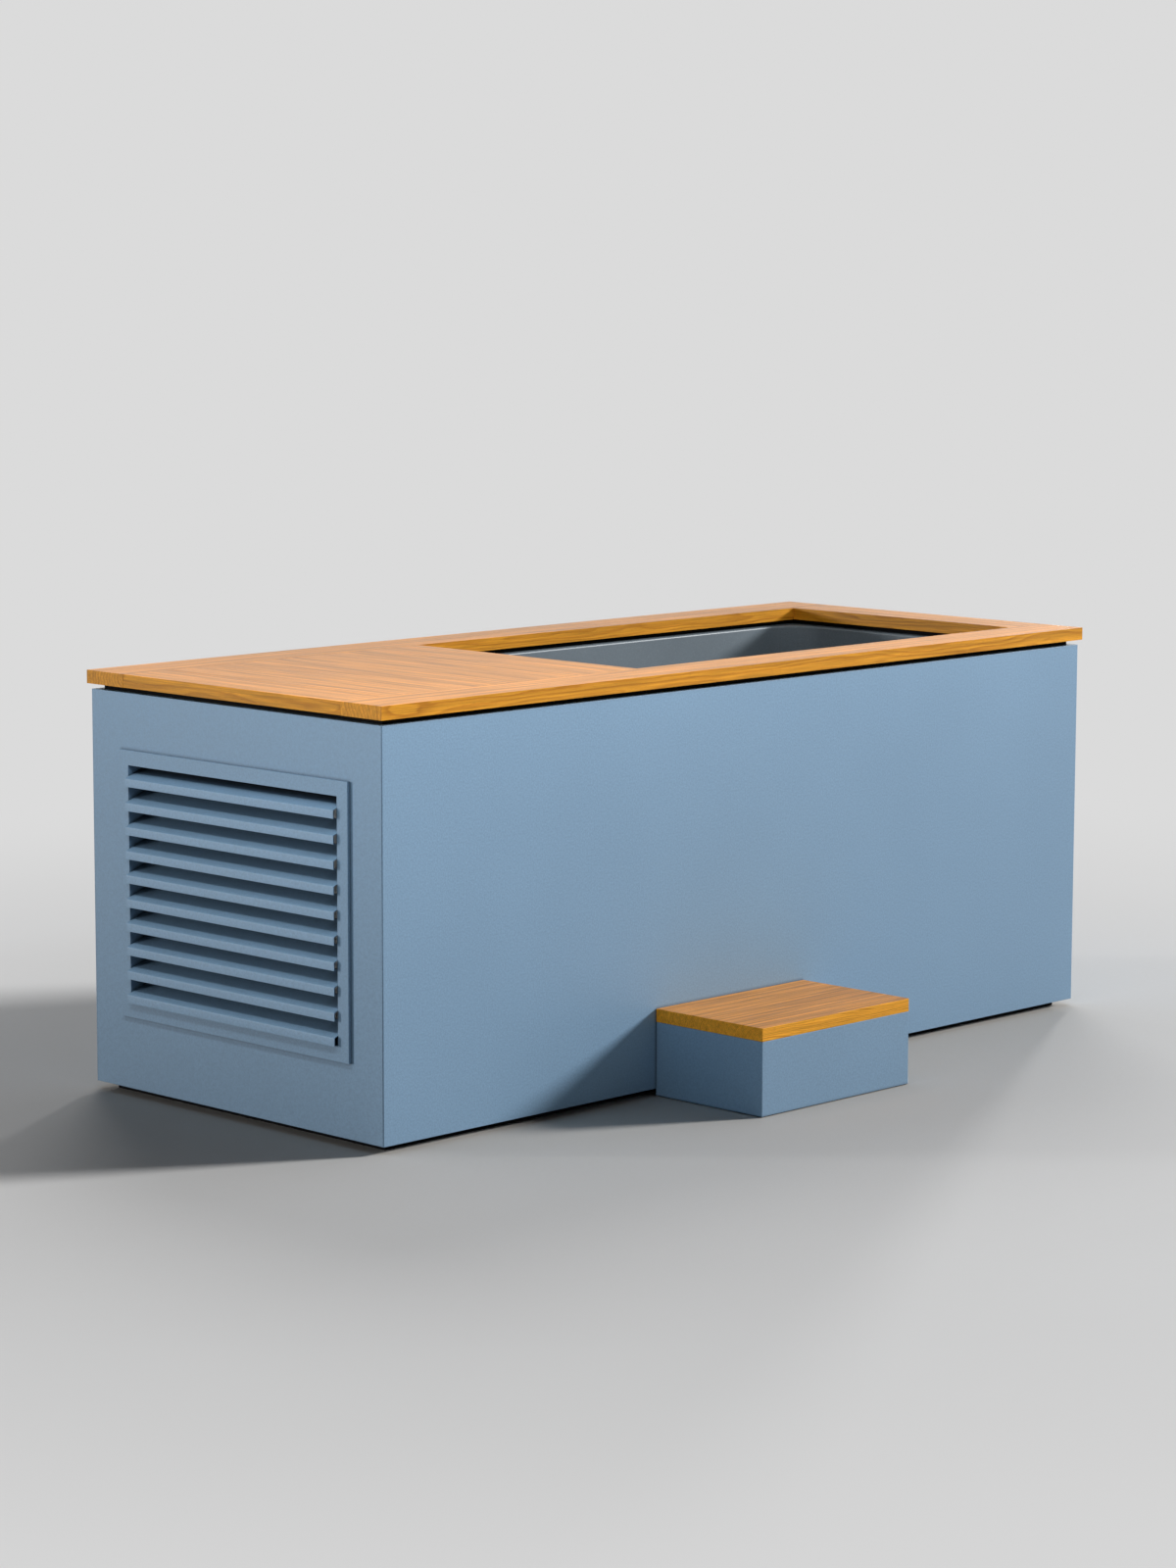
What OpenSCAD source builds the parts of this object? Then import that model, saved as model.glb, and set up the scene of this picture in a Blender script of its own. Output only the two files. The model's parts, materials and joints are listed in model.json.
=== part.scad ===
// Cold plunge tub with a machine bay at one end, a timber top and a loose step.
// X runs along the tub, the louvred end at -X; the step stands at -Y; Z is up.
// The origin is the centre of the footprint, on the floor.

/* [Body] */
// Length of the steel body
body_l = 2100; // [2060:10:2300]
// Width of the steel body
body_w = 856; // [840:2:920]
// Height of the steel body
body_h = 800; // [790:5:860]
// Thickness of the panel sheet
sheet_t = 2; // [1.5:0.5:3]
// Depth of the turned-in top edge of a panel
panel_flange = 30; // [26:1:34]
// Depth of the turned-in bottom edge of a panel
panel_foot = 20; // [15:1:26]
// Joint left between neighbouring panels
panel_gap = 0.3; // [0.2:0.1:1]

/* [Plinth] */
// Height of the plinth, which is the gap under the body
plinth_h = 15; // [12:1:40]
// Inset of the plinth from the body faces
plinth_inset = 30; // [24:1:36]
// Width of a plinth bar
plinth_bar_w = 44; // [40:1:60]

/* [Subframe] */
// Side of the square frame tube
tube_s = 40; // [36:1:44]
// Wall of the square frame tube
tube_wall = 2; // [1.5:0.5:3]
// Joint left at each weld
weld_gap = 0.2; // [0.2:0.1:0.4]
// Thickness of the machine pan
pan_t = 1.5; // [1:0.5:3]

/* [Timber top] */
// Thickness of the timber
wood_t = 27; // [22:1:36]
// Overhang of the timber past the body faces
wood_over = 7; // [3:1:12]
// Width of a timber rail
rail_w = 114; // [108:1:120]
// Length of the timber from the louvred end to the plunge opening
deck_l = 803; // [798:1:840]
// Height of the shadow gap under the timber
shadow_h = 11; // [9:1:18]
// Inset of the black spacer bars from the body faces
shadow_inset = 18; // [14:1:22]
// Setback of the spacer bars from the plunge opening
shadow_setback = 19; // [12:1:24]
// Number of staves in the lift-off hatch
stave_count = 6; // [5:1:8]
// Clearance round the lift-off hatch
hatch_clear = 1; // [0.6:0.1:2]
// Bearing of the hatch on the spacer at the louvred end
hatch_bearing = 28; // [20:1:40]
// Width of a hatch batten
batten_w = 45; // [35:1:60]
// Thickness of a hatch batten
batten_t = 28; // [20:1:32]

/* [Tub] */
// Wall of the tub liner
liner_t = 6; // [4:1:8]
// Thickness of the liner rim
rim_t = 4; // [3:1:6]
// Radius of the liner's upright corners
liner_r = 90; // [60:5:120]
// Radius between the liner's walls and floor
floor_r = 40; // [20:5:50]
// Thickness of the insulation
foam_t = 50; // [40:1:50]

/* [Louvre] */
// Width of the louvre over its flange
louvre_w = 677; // [660:1:690]
// Height of the louvre over its flange
louvre_h = 539; // [440:1:560]
// Height of the louvre above the body's lower edge
louvre_lift = 148; // [130:1:160]
// Width of the louvre flange
louvre_flange = 30; // [25:1:36]
// How far the flange stands off the end panel
louvre_proud = 7; // [5:1:10]
// Sheet of the louvre
louvre_t = 1.5; // [1:0.5:2]
// Depth of the collar inside the end panel
collar_d = 40; // [36:1:44]
// Spacing of the blades
blade_pitch = 48.5; // [40:0.5:60]
// Height of the upright lip of a blade
lip_h = 16.6; // [12:0.2:20]
// How far the lips stand off the flange
lip_proud = 9; // [6:0.5:12]
// Slope of a blade behind its lip, in degrees
blade_slope = 22; // [15:1:27]

/* [Step] */
// Length of the step
step_l = 445; // [380:1:520]
// Depth of the step
step_d = 287; // [250:1:340]
// Height of the step with its tread
step_h = 179; // [150:1:220]
// Thickness of the tread
tread_t = 27; // [20:1:32]
// Gap between the step and the tub
step_gap = 0.6; // [0.5:0.1:20]
// Distance from the louvred end to the step
step_from_end = 743; // [700:1:1100]
// Height of the rubber pads under the step
pad_h = 1.5; // [1:0.5:3]

/* [Cooling unit] */
// Thickness of the condenser
coil_t = 60; // [40:1:64]
// Width of the condenser
coil_w = 580; // [520:1:600]
// Spacing of the condenser's tube rows
coil_pitch = 55; // [50:1:57]
// Number of fins on the condenser
fin_count = 30; // [20:1:40]
// Number of tube rows in the condenser, odd so that the lines join at opposite sides
coil_rows = 9; // [7:2:9]
// Radius of the fan
fan_r = 195; // [170:1:205]
// Number of fan blades
fan_blades = 5; // [3:1:7]
// Radius of the fan motor
fan_motor_r = 46; // [38:1:52]
// Radius of the fan shaft
fan_shaft_r = 6; // [4:0.5:8]
// Running clearance round a shaft or stem
run_clear = 0.05; // [0.02:0.01:0.08]
// Radius of the compressor
comp_r = 78; // [65:1:82]
// Height of the compressor
comp_h = 250; // [220:1:280]
// Radius of the water chiller vessel
chill_r = 72; // [60:1:76]
// Height of the water chiller vessel
chill_h = 400; // [360:1:420]
// Radius of the copper lines
copper_r = 6; // [4:0.5:8]

/* [Water circuit] */
// Outer radius of the water pipe
pipe_r = 16; // [12.5:0.5:17]
// Wall of the water pipe
pipe_t = 2.4; // [1.8:0.1:3]
// Radius of the filter bowl
bowl_r = 92; // [80:1:95]
// Height of the filter bowl
bowl_h = 400; // [380:5:440]
// Radius of the filter cartridge
cartridge_r = 68; // [55:1:74]
// Radius of the pump housing
volute_r = 72; // [64:1:72]
// Radius of the pump motor
pump_motor_r = 60; // [50:1:64]
// Gap between the pump's motor and the foot of the lamp vessel
lamp_clear = 8; // [6:1:30]
// Radius of the pump shaft
pump_shaft_r = 7; // [5:0.5:8]
// Radius of the ultraviolet lamp vessel
lamp_r = 32; // [28:1:36]
// Length of the ultraviolet lamp vessel
lamp_l = 430; // [400:5:440]
// Length of a ball valve
valve_l = 70; // [64:1:74]
// Radius of a valve stem
stem_r = 5; // [4:0.5:6]
// Length of a valve handle
handle_l = 58; // [46:1:64]
// Outer radius of the drain outlet's thread
outlet_r = 16.6; // [13:0.1:18]
// Length of the drain outlet outside the panel
outlet_l = 24; // [20:1:30]

/* [Hidden] */
$fn = 64;
seat = 0.3;          // clearance between pieces that only rest on each other
cut = 1;             // how far a cutter runs past a face

half_l = body_l / 2;
half_w = body_w / 2;
in_l = half_l - sheet_t;                 // inner face of an end panel
in_w = half_w - sheet_t;                 // inner face of a long panel
body_z0 = plinth_h;
body_z1 = plinth_h + body_h;
wood_z0 = body_z1 + shadow_h;
wood_z1 = wood_z0 + wood_t;
wood_x = half_l + wood_over;
wood_y = half_w + wood_over;

open_x0 = -wood_x + deck_l;              // plunge opening
open_x1 = wood_x - rail_w;
open_y = wood_y - rail_w;

base_z0 = body_z0 + sheet_t;             // base rails
base_z1 = base_z0 + tube_s;
top_z1 = body_z1 - rim_t;                // top rails
top_z0 = top_z1 - tube_s;
pan_z1 = base_z1 + pan_t;

liner_x0 = open_x0 - liner_t;
liner_x1 = open_x1 + liner_t;
liner_y = open_y + liner_t;
liner_z0 = pan_z1 + foam_t + seat;
floor_z = liner_z0 + liner_t;            // floor that the bather stands on
screw_r = 2.5;                           // timber screws, from below
screw_head_r = 5;
screw_head_h = 3;
screw_l = 16;                            // length in the timber
screw_in = 150;                          // end of a spacer bar to its first screw
rim_gap = 3;
rim_y = half_w - panel_flange - rim_gap; // outer edge of the liner rim
rim_x1 = half_l - panel_flange - rim_gap;
rim_w_bay = 54;                          // width of the rim over the bulkhead

foam_x0 = liner_x0 - seat - foam_t;
foam_x1 = liner_x1 + seat + foam_t;
bulk_x1 = foam_x0 - seat;                // bulkhead, facing the tub
bulk_x0 = bulk_x1 - sheet_t;

cross_pitch = 400;                       // cross rails under the tub, from the bulkhead on
cross_rails = [-in_l, (-in_l + bulk_x0) / 2 - tube_s / 2, bulk_x0 - tube_s,
               bulk_x0 + cross_pitch, bulk_x0 + 2 * cross_pitch, in_l - tube_s];

spacer_y1 = half_w - shadow_inset;
spacer_y0 = open_y + shadow_setback;
spacer_x1 = half_l - shadow_inset;
bridge_w = 60;                           // spacer over the bulkhead
bridge_x1 = open_x0 - shadow_setback;
bridge_x0 = bridge_x1 - bridge_w;

screw_y = spacer_y0 + 20;
screw_places = [for (i = [0 : 5]) -spacer_x1 + screw_in + i * (2 * spacer_x1 - 2 * screw_in) / 5];

hatch_x0 = -wood_x + rail_w + hatch_clear;
hatch_x1 = open_x0;
hatch_y = open_y - hatch_clear;
stave_gap = 0.2;
stave_w = (hatch_x1 - hatch_x0 - stave_gap * (stave_count - 1)) / stave_count;
landing_x1 = hatch_x0 + hatch_bearing;   // inner edge of the spacer at the louvred end
batten_in = 130;                         // hatch edge to the middle of a batten
batten_end = 12;                         // batten end to what it hangs between
batten_x1 = min(bridge_x0, bulk_x0 - tube_s) - batten_end;

louvre_z0 = body_z0 + louvre_lift;
louvre_zc = louvre_z0 + louvre_h / 2;
vent_w = louvre_w - 2 * louvre_flange;
vent_h = louvre_h - 2 * louvre_flange;
vent_z0 = louvre_z0 + louvre_flange;
face_x = -half_l - louvre_proud;         // front of the louvre flange
lip_x = face_x - lip_proud;
collar_x1 = -in_l + collar_d;
blade_foot = 0.5;                        // last lip to the lower edge of the vent
blade_run = collar_x1 - lip_x - 4;
blade_rise = blade_run * tan(blade_slope);
blade_count = floor((vent_h - lip_h - 5) / blade_pitch) + 1;

coil_x0 = collar_x1 + 8;                 // condenser, behind the louvre
coil_x1 = coil_x0 + coil_t;
tray_t = 3;
tray_z1 = pan_z1 + tray_t;
plate_t = 2;                             // condenser end plates and fan shroud
coil_y = coil_w / 2;
coil_h = coil_rows * coil_pitch;
coil_z0 = louvre_zc - coil_h / 2;
coil_z1 = coil_z0 + coil_h;
coil_tube_r = 5;
coil_end_y = coil_y + 4;                 // where the straight tubes end
fin_t = 1.2;
fin_y = coil_y - plate_t - 6;            // first and last fin
fin_pitch = 2 * fin_y / (fin_count - 1);
copper_gap = 0.2;                        // joint left at each soldered end
elbow_proud = 0.8;
elbow_turn = [90, 0, 30];
liquid_lift = 60;
liquid_room = 40;                        // chiller to the upright part of the liquid line
gas_port = 250;
comp_port = 170;
drier_in = 18;                           // elbow to the drier in the liquid line
drier_l = 62;
drier_r = 15;
shroud_x0 = coil_x1 + 4;
shroud_ring = 52;                        // depth of the ring round the fan
shroud_x1 = shroud_x0 + plate_t + shroud_ring;
fan_gap = 8;                             // blade tip to ring
hub_r = 52;
hub_l = 44;
hub_x0 = shroud_x0 + plate_t + 4;
hub_x1 = hub_x0 + hub_l;
blade_chord = 84;
blade_t = 3;
blade_pitch_angle = 28;
fan_motor_x0 = hub_x1 + 6;
fan_motor_l = 62;
arm_w = 14;
arm_t = 5;

comp_room = 130;
comp_x = shroud_x1 + comp_room;          // compressor and water chiller stand in one line
tray_y = in_w - tube_s - 20;
comp_in = 181;                           // tray edge to the compressor and the chiller
chill_in = 176;
comp_y = tray_y - comp_in;
comp_foot = 190;
foot_pitch = comp_foot / 2 - 14;         // compressor centre to a grommet
mount_h = 14;
chill_x = comp_x;
chill_y = -(tray_y - chill_in);
chill_z1 = tray_z1 + chill_h;
chill_port = 320;
chill_in_z = tray_z1 + chill_port;
tray_x0 = coil_x0 - 6;
tray_x1 = comp_x + comp_foot / 2 + 6;

tail_l = 12;                             // through fitting past the bulkhead
strainer_slot = 3;                       // slots over the suction and the drain
tail_x = bulk_x0 - tail_l;
port_r = pipe_r + 4;                     // sockets that take a pipe
port_l = 22;

valve_room = 66;                         // pipe between a valve and the next vessel
bowl_x = tail_x - valve_l - valve_room - bowl_r;
lamp_collar = 7;                         // how far the lamp vessel's end rings stand out
line_in = 126;                           // tub wall to the suction and return lines
bowl_y = -(open_y - line_in);
bowl_z0 = pan_z1;
bowl_z1 = bowl_z0 + bowl_h;
bowl_t = 5;
collar_r = bowl_r + 12;
collar_h = 18;
lid_h = 34;
suction_lift = 56;
suction_z = floor_z + suction_lift;

pump_x = bowl_x;
pump_lift = 78;
pump_room = 66;
pump_z = pan_z1 + pump_lift;
pump_y0 = bowl_y + bowl_r + pump_room;          // suction face of the pump housing
volute_l = 54;
volute_t = 6;
pump_y1 = pump_y0 + volute_l;
impeller_gap = 3;
impeller_l = 16;
pump_top_z = pump_z + volute_r;
riser_y = pump_y0 + volute_l / 2;

lamp_x = tail_x - valve_l - valve_room - lamp_r;
lamp_y = open_y - line_in;
lamp_foot = 28;
pump_motor_l = lamp_y - lamp_foot / 2 - lamp_clear - pump_y1 - seat;
lamp_lift = 150;
lamp_port = 46;                          // lamp end to its port
lamp_z0 = pan_z1 + lamp_lift;
lamp_z1 = lamp_z0 + lamp_l;
return_z = lamp_z0 + lamp_port;
cross_z = lamp_z1 - lamp_port;           // pipe that runs over the cooling unit

drain_in = 75;                           // return line to the drain line
drain_y0 = lamp_y - drain_in;
drain_lift = 36;
drain_room = 64;
drain_z = floor_z + drain_lift;
drain_x = tail_x - drain_room;
outlet_clear = 2;                        // round the outlet in the back panel
outlet_room = 110;                       // drain valve to the back panel
drain_valve_y0 = in_w - outlet_room - valve_l;

valve_x = tail_x - seat - valve_l / 2;   // suction and return valves
stem_h = 16;
boss_r = stem_r + 5;
valve_r = pipe_r + 8;
handle_t = 9;
handle_w = 13;

box_w = 280;                             // control box on the bulkhead
box_y1 = lamp_y - 20;
box_y0 = box_y1 - box_w;
box_d = 92;
box_lift = 440;
box_h = 220;
box_z0 = pan_z1 + box_lift;
box_z1 = box_z0 + box_h;
box_wall = 2.5;
switch_side = 50;
switch_drop = 60;
switch_y = box_y0 + switch_side;
switch_z = box_z1 - switch_drop;
switch_w = 18;
switch_in = 6;                           // pin behind the face of the box
switch_pin_r = 1.5;

inlet_side = 60;                         // power inlet on the back panel
inlet_lift = 110;
inlet_x = comp_x + inlet_side;
inlet_z = body_z0 + inlet_lift;
exhaust_side = 30;
exhaust_x0 = shroud_x1 + exhaust_side;
exhaust_w = 240;
exhaust_rows = 8;
exhaust_pitch = 26;
exhaust_h = 9;
exhaust_lift = 500;
exhaust_z0 = body_z0 + exhaust_lift;

step_x0 = -half_l + step_from_end;
step_x1 = step_x0 + step_l;
step_y1 = -half_w - step_gap;
step_y0 = step_y1 - step_d;
step_box_z1 = step_h - tread_t;
step_corner = 34;

// Colours, as the photograph shows them
coat = [0.48, 0.60, 0.71];
timber = [0.80, 0.56, 0.30];
liner_grey = [0.42, 0.47, 0.50];
black = [0.07, 0.07, 0.08];
steel = [0.62, 0.64, 0.66];
copper = [0.72, 0.43, 0.26];
pipe_grey = [0.36, 0.38, 0.40];
foam = [0.88, 0.83, 0.66];
dark = [0.16, 0.17, 0.19];
red = [0.74, 0.16, 0.12];

// General shapes

module block(x0, x1, y0, y1, z0, z1) {
    translate([x0, y0, z0]) cube([x1 - x0, y1 - y0, z1 - z0]);
}

// A square tube between two places along X or Y, given by its lower corner
module tube_x(x0, x1, y0, z0) {
    difference() {
        block(x0, x1, y0, y0 + tube_s, z0, z0 + tube_s);
        block(x0 - cut, x1 + cut, y0 + tube_wall, y0 + tube_s - tube_wall,
              z0 + tube_wall, z0 + tube_s - tube_wall);
    }
}

module tube_y(x0, y0, y1, z0) {
    difference() {
        block(x0, x0 + tube_s, y0, y1, z0, z0 + tube_s);
        block(x0 + tube_wall, x0 + tube_s - tube_wall, y0 - cut, y1 + cut,
              z0 + tube_wall, z0 + tube_s - tube_wall);
    }
}

module tube_z(x0, y0, z0, z1) {
    difference() {
        block(x0, x0 + tube_s, y0, y0 + tube_s, z0, z1);
        block(x0 + tube_wall, x0 + tube_s - tube_wall, y0 + tube_wall,
              y0 + tube_s - tube_wall, z0 - cut, z1 + cut);
    }
}

// A rod between two points
module rod(p, q, r) {
    d = q - p;
    len = norm(d);
    translate(p) rotate([0, acos(d[2] / len), atan2(d[1], d[0])]) cylinder(h = len, r = r);
}

// A solid route of rods, with ball elbows that stand a little proud of them; the balls are turned
// so that the ends of their surfaces lie clear of the rods
module route(points, r) {
    for (i = [0 : len(points) - 2]) rod(points[i], points[i + 1], r);
    for (i = [1 : 1 : len(points) - 2]) translate(points[i]) rotate(elbow_turn) sphere(r = r + elbow_proud);
}

function toward(p, q, d) = p + (q - p) * (d / norm(q - p));

// A hollow pipe along a route; the bore runs out past both ends
module pipe(points, r, wall) {
    last = len(points) - 1;
    bore = [for (i = [0 : last])
        i == 0 ? toward(points[0], points[1], -cut)
        : i == last ? toward(points[last], points[last - 1], -cut)
        : points[i]];
    difference() {
        route(points, r);
        route(bore, r - wall);
    }
}

// A rectangle with round corners, centred on its place
module round_rect(x0, x1, y0, y1, r) {
    translate([x0 + r, y0]) square([x1 - x0 - 2 * r, y1 - y0]);
    translate([x0, y0 + r]) square([x1 - x0, y1 - y0 - 2 * r]);
    for (x = [x0 + r, x1 - r], y = [y0 + r, y1 - r]) translate([x, y]) circle(r = r);
}

// Plinth and subframe

module plinth_bars() {
    h = base_z0;
    py = half_w - plinth_inset;
    px = half_l - plinth_inset;
    w = plinth_bar_w;
    color(black) {
        for (s = [-1, 1]) {
            block(-px, px, s > 0 ? py - w : -py, s > 0 ? py : -py + w, 0, h);
            block(s > 0 ? px - w : -px, s > 0 ? px : -px + w,
                  -py + w + weld_gap, py - w - weld_gap, 0, h);
        }
        for (x = [bulk_x0 - tube_s / 2, 0])
            block(x - w / 2, x + w / 2, -py + w + weld_gap, py - w - weld_gap, 0, h);
    }
}

module base_rails() {
    inner = in_w - tube_s - weld_gap;
    color(steel) {
        for (y = [-in_w, in_w - tube_s]) tube_x(-in_l, in_l, y, base_z0);
        for (x = cross_rails) tube_y(x, -inner, inner, base_z0);
    }
}

module frame_posts() {
    color(steel)
        for (x = [-in_l, bulk_x0 - tube_s, in_l - tube_s], y = [-in_w, in_w - tube_s])
            tube_z(x, y, base_z1 + weld_gap, top_z0 - weld_gap);
}

module top_rails() {
    inner = in_w - tube_s - weld_gap;
    color(steel) {
        for (y = [-in_w, in_w - tube_s]) tube_x(-in_l, in_l, y, top_z0);
        for (x = [-in_l, bulk_x0 - tube_s, in_l - tube_s]) tube_y(x, -inner, inner, top_z0);
    }
}

module machine_pan() {
    y = in_w - tube_s - 1;
    x = in_l - tube_s - 1;
    color(steel) block(-x, x, -y, y, base_z1, pan_z1);
}

module bulkhead() {
    y = in_w - tube_s - 1;
    color(steel) difference() {
        block(bulk_x0, bulk_x1, -y, y, pan_z1, top_z0 - 1);
        translate([bulk_x0 - cut, bowl_y, suction_z]) hole_x(sheet_t + 2 * cut, pipe_r + 0.5);
        translate([bulk_x0 - cut, lamp_y, return_z]) hole_x(sheet_t + 2 * cut, pipe_r + 0.5);
        translate([bulk_x0 - cut, drain_y0, drain_z]) hole_x(sheet_t + 2 * cut, pipe_r + 0.5);
    }
}

module hole_x(l, r) { rotate([0, 90, 0]) cylinder(h = l, r = r); }
module hole_y(l, r) { rotate([-90, 0, 0]) cylinder(h = l, r = r); }

// Panels

// A long panel on side s, -1 front or 1 back
module long_panel(s) {
    module at(x, y0, z0, z1) {
        block(-x, x, s > 0 ? y0 : -half_w, s > 0 ? half_w : -y0, z0, z1);
    }
    at(half_l, in_w, body_z0, body_z1);
    at(in_l - panel_gap, half_w - panel_flange, body_z1 - sheet_t, body_z1);
    at(in_l - panel_gap, half_w - panel_foot, body_z0, body_z0 + sheet_t);
}

module front_panel() { color(coat) long_panel(-1); }

module back_panel() {
    color(coat) difference() {
        long_panel(1);
        for (i = [0 : exhaust_rows - 1])
            translate([exhaust_x0, in_w - cut, exhaust_z0 + i * exhaust_pitch])
                slot_y(exhaust_w, exhaust_h, sheet_t + 2 * cut);
        translate([drain_x, in_w - cut, drain_z]) hole_y(sheet_t + 2 * cut, outlet_r + outlet_clear);
        block(inlet_x - 23, inlet_x + 23, in_w - cut, half_w + cut, inlet_z - 23, inlet_z + 23);
    }
}

// A slot with round ends that cuts through along Y
module slot_y(l, h, d) {
    r = h / 2;
    translate([r, 0, 0]) hole_y(d, r);
    translate([l - r, 0, 0]) hole_y(d, r);
    block(r, l - r, 0, d, -r, r);
}

// An end panel on side s, -1 louvred or 1 plain
module end_panel(s) {
    y = in_w - panel_gap;
    yf = half_w - panel_flange - panel_gap;
    yb = half_w - panel_foot - panel_gap;
    module at(x0, x1, yy, z0, z1) {
        block(min(s * x0, s * x1), max(s * x0, s * x1), -yy, yy, z0, z1);
    }
    at(in_l, half_l, y, body_z0, body_z1);
    at(half_l - panel_flange, half_l, yf, body_z1 - sheet_t, body_z1);
    at(half_l - panel_foot, half_l, yb, body_z0, body_z0 + sheet_t);
}

module louvre_end_panel() {
    hole = 0.5;
    color(coat) difference() {
        end_panel(-1);
        block(-half_l - cut, -in_l + cut, -vent_w / 2 - louvre_t - hole,
              vent_w / 2 + louvre_t + hole, vent_z0 - louvre_t - hole,
              vent_z0 + vent_h + louvre_t + hole);
    }
}

module tub_end_panel() { color(coat) end_panel(1); }

// Louvre

module ring_x(x0, x1, w, z0, z1, t) {
    difference() {
        block(x0, x1, -w / 2, w / 2, z0, z1);
        block(x0 - cut, x1 + cut, -w / 2 + t, w / 2 - t, z0 + t, z1 - t);
    }
}

module louvre_frame() {
    color(coat) {
        ring_x(face_x, face_x + louvre_t, louvre_w, louvre_z0, louvre_z0 + louvre_h,
               louvre_flange);
        ring_x(face_x, -half_l, louvre_w, louvre_z0, louvre_z0 + louvre_h, louvre_t);
        ring_x(face_x, collar_x1, vent_w + 2 * louvre_t, vent_z0 - louvre_t,
               vent_z0 + vent_h + louvre_t, louvre_t);
    }
}

// One blade, drawn in the XZ plane from the foot of its lip: lip, slope, back edge
module blade() {
    t = louvre_t;
    rise = t / cos(blade_slope);
    w = vent_w - 2 * seat;
    translate([0, w / 2, 0]) rotate([90, 0, 0]) linear_extrude(height = w)
        polygon([[0, 0], [t, 0], [t, lip_h - rise + t * tan(blade_slope)],
                 [blade_run, lip_h + blade_rise - rise], [blade_run, lip_h + blade_rise],
                 [0, lip_h]]);
}

module louvre_blades() {
    color(coat) for (i = [0 : blade_count - 1])
        translate([lip_x, 0, vent_z0 + blade_foot + i * blade_pitch]) blade();
}

// Timber top

module spacer_bars() {
    y = spacer_y0 - weld_gap;
    color(black) {
        for (s = [-1, 1]) difference() {
            block(-spacer_x1, spacer_x1, s > 0 ? spacer_y0 : -spacer_y1,
                  s > 0 ? spacer_y1 : -spacer_y0, body_z1, wood_z0);
            for (x = screw_places) translate([x, s * screw_y, body_z1 - cut]) {
                cylinder(h = shadow_h + 2 * cut, r = screw_r + 0.2);
                cylinder(h = cut + seat + screw_head_h + 0.1, r = screw_head_r + 0.3);
            }
        }
        block(open_x1 + shadow_setback, spacer_x1, -y, y, body_z1, wood_z0);
        block(-spacer_x1, landing_x1, -y, y, body_z1, wood_z0);
        block(bridge_x0, bridge_x1, -y, y, body_z1, wood_z0);
    }
}

// Screws that hold the long rails from below, heads sunk in the spacer bars
module rail_screws() {
    color(steel) for (x = screw_places, s = [-1, 1]) translate([x, s * screw_y, body_z1 + seat]) {
        cylinder(h = screw_head_h, r = screw_head_r);
        cylinder(h = shadow_h - seat + screw_l, r = screw_r);
    }
}

module long_rail(s) {
    difference() {
        block(-wood_x, wood_x, s > 0 ? open_y : -wood_y, s > 0 ? wood_y : -open_y,
              wood_z0, wood_z1);
        for (x = screw_places) translate([x, s * screw_y, wood_z0 - cut])
            cylinder(h = screw_l + cut + 0.5, r = screw_r + 0.1);
    }
}

module front_rail() { color(timber) long_rail(-1); }
module back_rail() { color(timber) long_rail(1); }

module tub_end_rail() {
    color(timber) block(open_x1, wood_x, -open_y + weld_gap, open_y - weld_gap, wood_z0, wood_z1);
}

module bay_end_rail() {
    color(timber) block(-wood_x, -wood_x + rail_w, -open_y + weld_gap, open_y - weld_gap,
                        wood_z0, wood_z1);
}

module hatch_staves() {
    color(timber) for (i = [0 : stave_count - 1]) {
        x = hatch_x0 + i * (stave_w + stave_gap);
        block(x, x + stave_w, -hatch_y, hatch_y, wood_z0 + seat, wood_z1);
    }
}

module hatch_battens() {
    y0 = hatch_y - batten_in;
    color(timber) for (y = [-y0, y0])
        block(landing_x1 + batten_end, batten_x1, y - batten_w / 2,
              y + batten_w / 2, wood_z0 + seat - batten_t, wood_z0 + seat);
}

// Tub

// The space inside the liner: straight walls and round upright corners
module tub_space(grow, z0, z1) {
    translate([0, 0, z0]) linear_extrude(height = z1 - z0)
        round_rect(open_x0 - grow, open_x1 + grow, -open_y - grow, open_y + grow, liner_r + grow);
}

// Section of the cove between wall and floor, with the corner at the origin
module cove_section() {
    edge = 0.5;
    polygon(concat([[-edge, -edge], [floor_r, -edge]],
        [for (a = [270 : -22.5 : 180]) [floor_r + floor_r * cos(a), floor_r + floor_r * sin(a) + 0.2]],
        [[-edge, floor_r]]));
}

// The cove along the four walls and round the four corners
module cove() {
    run_x = open_x1 - open_x0 - 2 * liner_r;
    run_y = 2 * open_y - 2 * liner_r;
    for (s = [0, 180]) {
        translate([(open_x0 + open_x1) / 2, 0, floor_z]) rotate([0, 0, s])
            translate([-run_x / 2, -open_y, 0]) rotate([90, 0, 90])
                linear_extrude(height = run_x) cove_section();
        translate([(open_x0 + open_x1) / 2, 0, floor_z]) rotate([0, 0, s])
            translate([-(open_x1 - open_x0) / 2, run_y / 2, 0]) rotate([90, 0, 0])
                linear_extrude(height = run_y) cove_section();
    }
    for (c = [[open_x0 + liner_r, -open_y + liner_r, 180], [open_x1 - liner_r, -open_y + liner_r, 270],
              [open_x1 - liner_r, open_y - liner_r, 0], [open_x0 + liner_r, open_y - liner_r, 90]])
        translate([c[0], c[1], floor_z]) rotate([0, 0, c[2]]) rotate_extrude(angle = 90)
            translate([liner_r, 0]) mirror([1, 0]) cove_section();
}

fittings = [[bowl_y, suction_z], [lamp_y, return_z], [drain_y0, drain_z]];

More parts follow.
